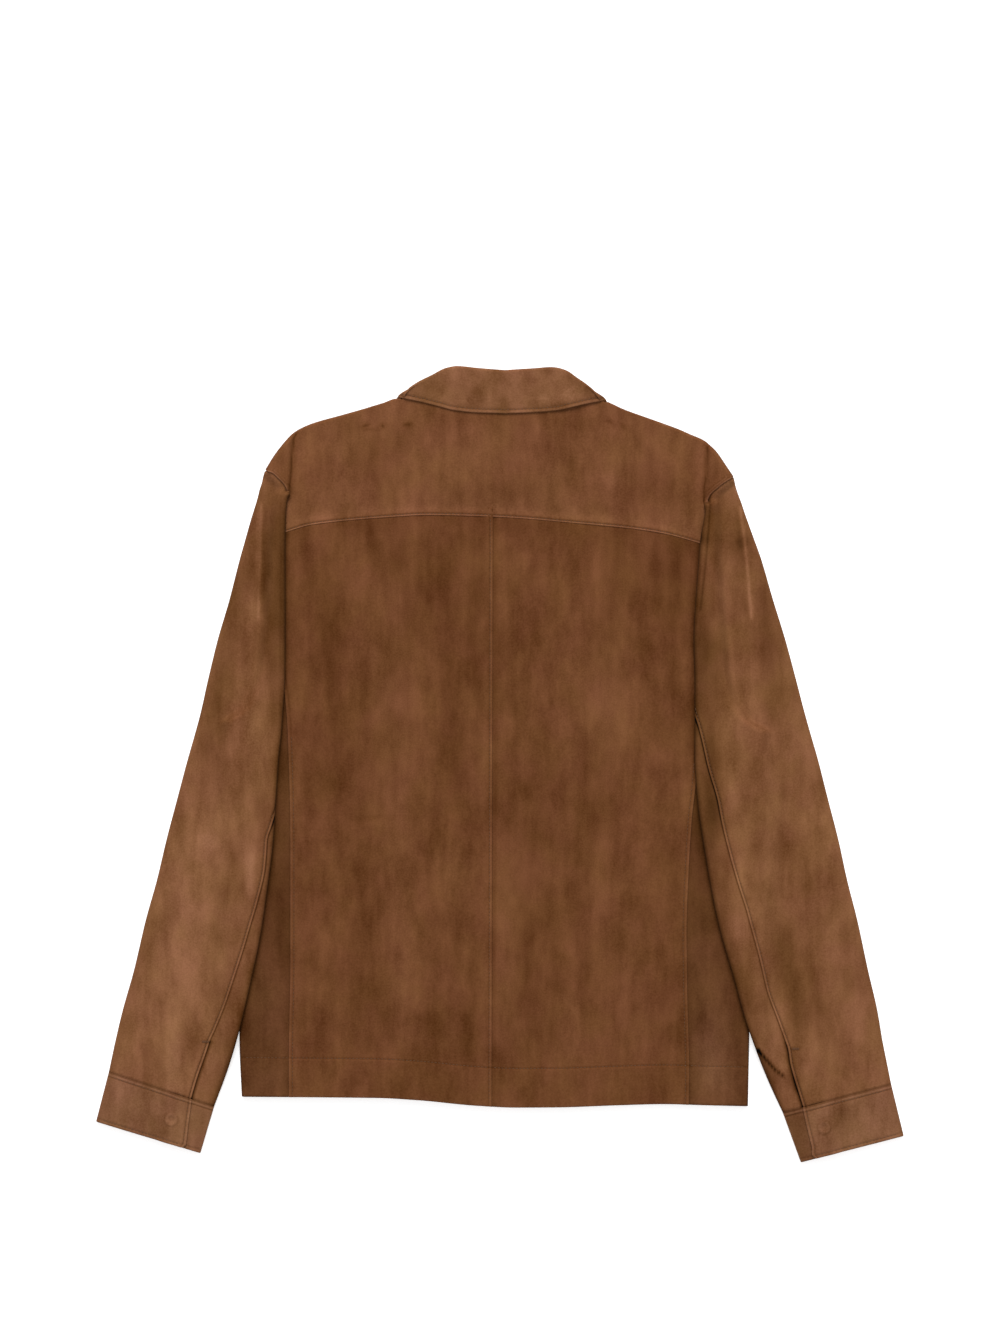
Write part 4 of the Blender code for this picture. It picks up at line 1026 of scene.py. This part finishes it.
def sleeve_rings(side):
    """Rings of the top piece and the under piece, and the run of the stitches on their seam."""
    top, under, seam_run = [], [], []
    for ring in sleeve_rows(side, 2.6):
        section = Section(side, ring)
        marks = [section.length[k] for k in section.marks]
        hole = armhole[side]
        arm_d = section.crossing(lambda y: hole(y) + 0.3)
        lap_d = section.crossing(lambda y: hole(y) - 0.5)
        front_d = section.crossing(lambda y: body_fold[side](y) + climb_width(side, y) + 2)
        front_d = min(front_d, section.bends[1] - 6)
        start = section.station(arm_d if section.above else front_d, "first")
        under_end = section.station(lap_d if section.above else front_d + 0.5, "second")
        middle = ring[3]
        if middle > CAP[side] - 2:
            tuck = mix(2.5, 6.0, float(soft(middle, CAP[side], CAP[side] + 12)))
            end = min(section.station(arm_d + tuck, "upper"), marks[2] - 0.5)
        elif middle > BACK_SEAM_TOP[side]:
            end = under_end
        else:
            end = (marks[2] + marks[3]) / 2 - float(back_seam[side](middle))
        lengths = knots_to_lengths([start, *marks, end], TOP_COLUMNS)
        points = section.row(lengths)
        beside = np.full(len(lengths), 99.0) if middle > BACK_SEAM_TOP[side] else end - lengths
        top.append(np.column_stack([points, beside, lengths - marks[2]]))
        if middle < SEWN_FROM[side]:
            seam_run.append(section.row([end - SEAM_ROW])[0])
        if middle < BACK_SEAM_TOP[side]:
            knee = section.station(section.crossing(lambda y: body_fold[side](y) - 1), "second")
            begin = max(end - 8.0, marks[1] + 4)
            knots = [begin, end - 0.6, end + 2.4, *marks[2:], knee, under_end]
            lengths = knots_to_lengths(knots, UNDER_COLUMNS)
            under.append(np.column_stack([section.row(lengths), lengths - end, lengths - marks[2]]))
    return np.stack(top), np.stack(under), seam_run


def sleeve(side):
    """Both pieces of one sleeve, the stitches on their seam and the bar tack over the vent."""
    name = "left" if side < 0 else "right"
    top, under, seam_run = sleeve_rings(side)
    last = SLEEVE_TABLE[side][-1]
    to_cuff = [(side * last[0], last[1]), (side * last[2], last[3])]
    pieces = []
    for kind, net in (("top", top), ("under", under)):
        x, y, _, beside, rolled = np.moveaxis(net, 2, 0)
        facing_up = soft(-np.gradient(side * x, axis=1), 0.02, 0.3)
        vent = soft(-y, *VENT_OPENS)
        lift = marks_at(x, y, SLEEVE_CREASES)
        if kind == "top":
            lift += (0.8 + 0.7 * vent) * (1 - soft(beside, 2, 8))
            lift += pucker(y, beside - SEAM_ROW) - 0.4 * bump(beside - SEAM_ROW, 0.9)
            # Painted shade in the seam row's groove, less a painted highlight on the lapped edge.
            painted_seam_shading = 0.32 * bump(beside - SEAM_ROW, 0.6) - 0.22 * bump(beside - 0.8, 0.7)
        else:
            lift -= 0.45 * (1 - soft(beside, 0, 3))
            # Painted shadow beside the top piece's edge, deeper in the vent's slit.
            painted_seam_shading = (0.52 + 0.30 * vent) * bump(beside - 0.7, 1.0 + 0.9 * vent)
        # Painted shadow under the cuff's top edge.
        painted_seam_shading += 0.14 * bump(distance_to(to_cuff, x, y), 0.8)
        # Stains with painted highlights and shade along ridges and creases, less the painted seam
        # shading.
        tone = 1 + marks_at(x, y, SLEEVE_STAINS_AND_SHADING) - painted_seam_shading
        # Painted shade towards and over the rolled inner fold.
        tone -= 0.20 * soft(rolled, -13, 0) + 0.34 * soft(rolled, -2.5, 2)
        for run, width, height in SLEEVE_SHADES:
            tone += height * bump(distance_to(run, x, y), width)
        net = net[..., :3].copy()
        net[..., 2] += lift * facing_up
        pieces.append(shell(net, tone, sleeve_suede, f"sleeve_{kind}_{name}", "sleeve_suede"))
    start, end, middle = BAR_TACK[side]
    bars = [[(x, middle - 1.6), (x, middle + 1.6)] for x in np.arange(start, end, 0.7)]
    return *pieces, sew(pieces[0], f"sleeve_top_{name}_stitches", seam_run, *bars)


sleeve_suede = suede("sleeve_suede", LIGHT_BROWN)
sleeve_top_left, sleeve_under_left, left_seam_stitches = sleeve(-1)
sleeve_top_right, sleeve_under_right, right_seam_stitches = sleeve(1)

# Cuffs
# A band of suede sewn to each sleeve's end. Its outer end laps over its inner end at the vent,
# where a hidden snap holds it, and only the snap's print shows.

CUFF_DEPTH = 48
CUFF_LAP = 14.0
CUFF_COLUMNS = (10, 10, 22, 10, 64)
CORNER_RADIUS = 6.0
END_ROW = 2.8
TOP_ROW = 3.9
HEM_ROW = 45.2
CUFF_BROWN = (0.192, 0.0815, 0.0362)
CUFF_HEM = {-1: (395.4, -349.6, 292.8, -380.6), 1: (394.2, -363.6, 293.0, -389.6)}
cuff_edge = {
    -1: line((-328, 301.5), (-349, 304.4), (-374, 307.4)),
    1: line((-337, 295.4), (-353, 298.8), (-375, 304.2)),
}
SNAPS = {-1: (-321.4, -347.4), 1: (315.6, -355.2)}
INNER_END_SHADE = {-1: 0.10, 1: 0.24}
# Lighter and darker marks, some round the snaps' prints, each from a place to a place, with its
# half width and its tone.
CUFF_LIGHT_AND_DARK_MARKS = [
    (-352, -334, -330, -352, 9, -0.05), (-322, -336, -312, -345, 7, -0.08),
    (-335, -352, -345, -358, 8, -0.07), (330, -345, 345, -365, 9, -0.06),
    (352, -330, 360, -350, 8, 0.05), (318, -335, 312, -350, 5, 0.08),
    (330, -338, 342, -342, 8, -0.20), (320, -366, 326, -370, 6, -0.16),
    (-337, -342, -327, -340, 1.5, 0.12), (-325, -341, -313, -343, 1.6, 0.12),
    (-330, -347, -319, -350, 2, 0.10), (-331, -329, -325, -334, 3, -0.14),
    (-336, -360, -320, -361, 4, -0.12), (304, -339, 322, -341, 6, 0.10),
    (309, -347, 322, -345, 0.9, -0.16), (309, -361, 318, -361, 0.9, -0.14),
]


def cuff(side, name):
    """One cuff, from its inner end at the vent round the sleeve to its outer end over it."""
    top, bottom = np.array(SLEEVE_TABLE[side][-1]), np.array(CUFF_HEM[side])
    rows = []
    for share in rows_at(CUFF_DEPTH, 1.6, (0, 6, 0.8), (42, 48, 0.6)):
        section = Section(side, mix(top, bottom, share))
        d0, d1 = section.bends
        down = CUFF_DEPTH * share
        corner = min(max(down - CUFF_DEPTH + CORNER_RADIUS, 0), CORNER_RADIUS - 0.2)
        rounding = CORNER_RADIUS - math.sqrt(CORNER_RADIUS**2 - corner**2)
        over = section.crossing(cuff_edge[side]) - rounding
        under = over - CUFF_LAP
        first, second = section.marks[1], section.marks[2]
        upper_d, upper_z = section.points[first : second + 1].T
        inner_end = np.linspace(under, d1, 24)
        outer_end = np.linspace(d0, over, 80)
        raised = 1.9 * soft(outer_end, under - 14, under - 2)
        stretches = [
            np.stack([inner_end, np.interp(inner_end, upper_d, upper_z)], axis=1),
            section.points[second + 1 : section.marks[3]],
            section.points[section.marks[3] :],
            section.points[section.marks[0] + 1 : first],
            np.stack([outer_end, np.interp(outer_end, upper_d, upper_z) + raised], axis=1),
        ]
        section.points = np.concatenate(stretches)
        section.length = length_along(section.points)
        ends = np.cumsum([len(s) for s in stretches])
        knots = [0, *section.length[[ends[0] - 1, ends[1], ends[2] - 1, ends[3], -1]]]
        lengths = knots_to_lengths(knots, CUFF_COLUMNS)
        edge = section.length[-1] - lengths
        rows.append(np.column_stack([section.row(lengths), edge, np.full(len(lengths), down)]))
    net = np.stack(rows)
    x, y, z, edge, down = np.moveaxis(net, 2, 0)
    snap = np.hypot(x - SNAPS[side][0], y - SNAPS[side][1])
    from_edge = np.minimum(down - 1.1, np.minimum(edge, CUFF_DEPTH - down))
    lift = 0.6 * bump(snap - 5.2, 1.4) - 0.45 * bump(snap, 3.0)
    lift -= 0.35 * bump(from_edge - END_ROW, 1.0)
    points = net[..., :3].copy()
    points[..., 2] += lift * soft(z, 2.4, 3.6)
    tone = 1 + marks_at(x, y, CUFF_LIGHT_AND_DARK_MARKS)
    # Painted shade in the stitch rows' grooves and at the top edge, painted highlights on the outer
    # end's edge and below the top edge, a painted light ring and shade ring round the snap's print,
    # and painted shade on the inner end under the lap.
    tone -= 0.42 * bump(down - TOP_ROW, 0.7) + 0.30 * bump(edge - END_ROW, 0.8)
    tone -= 0.10 * bump(HEM_ROW - down, 0.8) + 0.40 * bump(down - 0.3, 0.8)
    tone += 0.34 * bump(edge - 0.5, 0.8) + 0.26 * bump(down - 2.1, 0.8)
    tone += 0.14 * bump(snap - 4.8, 1.0) - 0.16 * bump(snap - 6.6, 1.0)
    tone[:, : CUFF_COLUMNS[0] + 2] -= INNER_END_SHADE[side]
    band = shell(points, tone, cuff_suede, name, "sleeve_suede")
    outer = net[:, -CUFF_COLUMNS[-1] :]
    runs = [outer[np.abs(outer[:, 0, 4] - row).argmin(), 2:-3] for row in (TOP_ROW, HEM_ROW)]
    runs.append(outer[4:-3, np.abs(outer[len(net) // 2, :, 3] - END_ROW).argmin()])
    return band, sew(band, f"{name}_stitches", *runs)


cuff_suede = suede("cuff_suede", CUFF_BROWN)
cuff_left, cuff_left_stitches = cuff(-1, "cuff_left")
cuff_right, cuff_right_stitches = cuff(1, "cuff_right")

# Collar
# The stand goes up from the back neck, and the fall rolls over it and is turned down. Its two
# front ends pass over the sides of the neck and lie under the fronts.

FALL_ROW = 3.6
COLLAR_BROWN = (0.207, 0.086, 0.0368)
COLLAR_STREAKS = (50, 50, 60)
# Shares of the collar from its middle to an end, each with x, y, z and turn of the roll, then
# x, y, z of the fall's middle and of its edge.
collar_table = np.array([
    (0, 0, 384.5, 9.4, 0, 0, 365, 10.6, 0, 342, 9.6),
    (0.10, -26, 386.5, 9.4, 0, -26, 366, 10.6, -27, 343.5, 9.6),
    (0.20, -47, 388.5, 9.3, 0, -47, 368, 10.6, -50, 346, 9.6),
    (0.26, -58, 386.5, 8.8, 0, -60, 368, 9.9, -66, 350, 9.5),
    (0.33, -71, 380, 8.4, 0, -77, 367, 9.6, -82, 354, 8.6),
    (0.40, -85, 373, 8.2, 0, -93, 366, 9.4, -96, 356.5, 8.2),
    (0.46, -94, 366.5, 8, 10, -101, 363, 9, -104, 358, 5),
    (0.52, -97, 361.5, 7, 35, -105, 360, 4.5, -107, 351, 0.9),
    (0.57, -95, 358, 4, 90, -105, 357, 0.45, -109, 342, 0.9),
    (0.64, -86, 350, 2.4, 165, -106, 336, 0.9, -112, 318, 0.9),
    (0.73, -75, 337, 2.4, 180, -97, 316, 0.9, -107, 297, 0.9),
    (0.84, -54, 322, 2.4, 180, -81, 298, 0.9, -95, 270, 0.9),
    (0.93, -32, 312, 2.4, 180, -55, 285, 0.9, -82, 252, 0.9),
    (1, -8, 306, 2.4, 180, -40, 276, 0.9, -71, 242, 0.9),
])
collar_line = [line(*zip(collar_table[:, 0], collar_table[:, k])) for k in range(1, 11)]
stand_x = line((0, 0), (0.1, -26), (0.2, -49), (0.3, -66), (0.4, -80), (0.5, -90))
stand_z = line((0, 7.5), (0.1, 7.5), (0.2, 6.8), (0.3, 6.2), (0.4, 5.9), (0.5, 5.2))
# Lighter and darker marks on the fall, each from a place to a place, with its half width and its
# tone.
COLLAR_LIGHT_AND_DARK_MARKS = [
    (-40, 378, 40, 378, 10, 0.06), (-60, 352, 60, 350, 6, -0.05), (-90, 368, -70, 360, 10, -0.06),
    (80, 368, 95, 358, 10, -0.05), (30, 355, 78, 358, 5, 0.20), (66, 366, 69, 362, 7, 0.30),
    (84, 368, 86, 362, 4, -0.12), (-62, 354, -30, 351, 5, 0.08),
]


def mirrored(x, at):
    """The table gives the left half. The right half is its mirror, a little drawn in."""
    return NECK_MIDDLE + (x if at < 0 else -x - 6.5 * float(soft(at, 0.26, 0.46)))


def drop(at):
    """How much lower the right half lies than the left."""
    return 3.0 * float(soft(at, 0.0, 0.5))


def collar_roll(at):
    """Middle of the collar's roll, and the way and distance from it to the fall."""
    fold_x, fold_y, fold_z, turn = [float(read(abs(at))) for read in collar_line[:4]]
    turn = math.radians(turn)
    outward = np.array([-math.sin(turn), 0.0, math.cos(turn)])
    radius = mix(1.9, 1.5, float(soft(abs(at), 0.5, 0.64)))
    return np.array([fold_x, fold_y - FOLD_EDGE, fold_z]), outward * radius


def make_collar():
    """The fall, from inside the roll over its top and down, along both halves of the neck."""
    rows = []
    half = -rows_at(340, 3.0, (120, 220, 2.0))[::-1]
    down = np.concatenate([np.linspace(0, 0.28, 14), np.linspace(0.28, 1, 44)[1:]])
    for at in np.concatenate([half, -half[-2::-1]]):
        values = [float(read(abs(at))) for read in collar_line[4:]]
        over, edge = np.array(values[:3]), np.array(values[3:])
        edge[1] -= 0.7 * float(soft(-at, 0.02, 0.12) * (1 - soft(-at, 0.30, 0.42)))
        edge[2] -= 0.9 * float(1 - soft(abs(at), 0.40, 0.48))
        fold, out = collar_roll(at)
        side = float(soft(abs(at), 0.46, 0.52) * (1 - soft(abs(at), 0.58, 0.66)))
        stand = fold + np.array([0.0, -5.5, 0.0]) * mix(1, 0.5, side) - out
        path = [stand + (fold - out - stand) * k / 3 for k in range(3)]
        for angle in np.radians(np.linspace(-90, 90, 17)):
            reach = np.array([0.0, -np.linalg.norm(out) * (1 - math.cos(angle)), 0.0])
            path.append(fold + reach + out * math.sin(angle))
        rolled = path[-1]
        for t in np.linspace(0, 1, 40)[1:]:
            path.append(rolled * (1 - t) ** 2 + over * 2 * t * (1 - t) + edge * t * t)
        path = np.array([(mirrored(x, at), y - 0.5 - drop(at), z) for x, y, z in path])
        rows.append(along_path(path, down))
    net = np.stack(rows)
    x, y = net[..., 0], net[..., 1]
    length = np.array([length_along(row) for row in net])
    above = length[:, -1:] - length
    row = above - FALL_ROW
    lift = 0.25 * (1 - soft(above, 1, 5)) - 0.35 * bump(row, 1.1) + pucker(x, row)
    net[..., 2] += lift - 0.4 * bump(x - 14.7, 1.0) * bump(above - 8, 4)
    tone = 0.92 + marks_at(x, y, COLLAR_LIGHT_AND_DARK_MARKS)
    # A painted highlight along the fall's edge and painted shade in its stitch row's groove.
    tone += 0.10 * bump(above - 0.8, 0.9) - 0.34 * bump(above - 3.3, 0.8)
    fall = shell(net, tone, collar_suede, "collar", "body_suede")
    seam = [net[r, np.abs(row[r]).argmin()] for r in range(len(net))]
    return fall, sew(fall, "collar_stitches", [spot for spot in seam if spot[2] > 6.5])


def make_stand():
    """The stand along the back neck, up into the roll of the fall."""
    rows = []
    for at in np.linspace(-0.46, 0.46, 90):
        x = mirrored(float(stand_x(abs(at))), at)
        neck = np.array([x, float(BACK_NECK(x)), float(stand_z(abs(at)))])
        fold, out = collar_roll(at)
        top = fold - out - np.array([0.0, 6.4 + drop(at), 0.0])
        top[0] = mirrored(top[0], at)
        rows.append([mix(neck, top, k / 10) for k in range(11)])
    return shell(np.array(rows), 0.9, collar_suede, "collar_stand", "body_suede")


collar_suede = suede("collar_suede", COLLAR_BROWN, COLLAR_STREAKS)
collar, collar_stitches = make_collar()
collar_stand = make_stand()

# Studio
# A pale table that the jacket lies on, white light all round, a large soft lamp from the collar
# side with a weak one from the hem side, and a camera straight above.

camera_data = bpy.data.cameras.new("camera")
camera_data.lens = 100.55
camera_data.sensor_fit = "VERTICAL"
camera_data.sensor_height = 36.0
camera_data.clip_end = 20.0
camera = bpy.data.objects.new("camera", camera_data)
camera.location = (0.0, 0.0948, 3.643)
bpy.context.scene.collection.objects.link(camera)
bpy.context.scene.camera = camera

bpy.ops.mesh.primitive_plane_add(size=8.0, location=(0, 0, -0.0002))
table = bpy.context.object
table.name = "table"
white_table, table_tree, table_shader = new_finish("white_table")
table_grain = add(table_tree, "TexNoise", {"Scale": 30.0}).outputs["Fac"]
table_bump = add(table_tree, "Bump", {"Strength": 0.02, "Height": table_grain}).outputs["Normal"]
connect(table_tree, table_shader, {
    "Base Color": (0.94, 0.94, 0.94, 1), "Roughness": 0.9, "Normal": table_bump,
    "Emission Color": (1, 1, 1, 1), "Emission Strength": 0.5,
})
table.data.materials.append(white_table)

room = bpy.data.worlds.new("room")
room.use_nodes = True
white = {"Color": (1, 1, 1, 1), "Strength": 0.45}
connect(room.node_tree, room.node_tree.nodes["Background"], white)
bpy.context.scene.world = room
for place, size, power in (((-0.3, 6.8, 4.4), 3.4, 690.0), ((0.5, -3.0, 5.6), 4.0, 70.0)):
    lamp_data = bpy.data.lights.new("soft_light", "AREA")
    lamp_data.shape = "SQUARE"
    lamp_data.size = size
    lamp_data.energy = power
    lamp = bpy.data.objects.new("soft_light", lamp_data)
    lamp.location = place
    lamp.rotation_euler = (-Vector(place)).to_track_quat("-Z", "Y").to_euler()
    bpy.context.scene.collection.objects.link(lamp)
bpy.context.scene.view_settings.view_transform = "Standard"
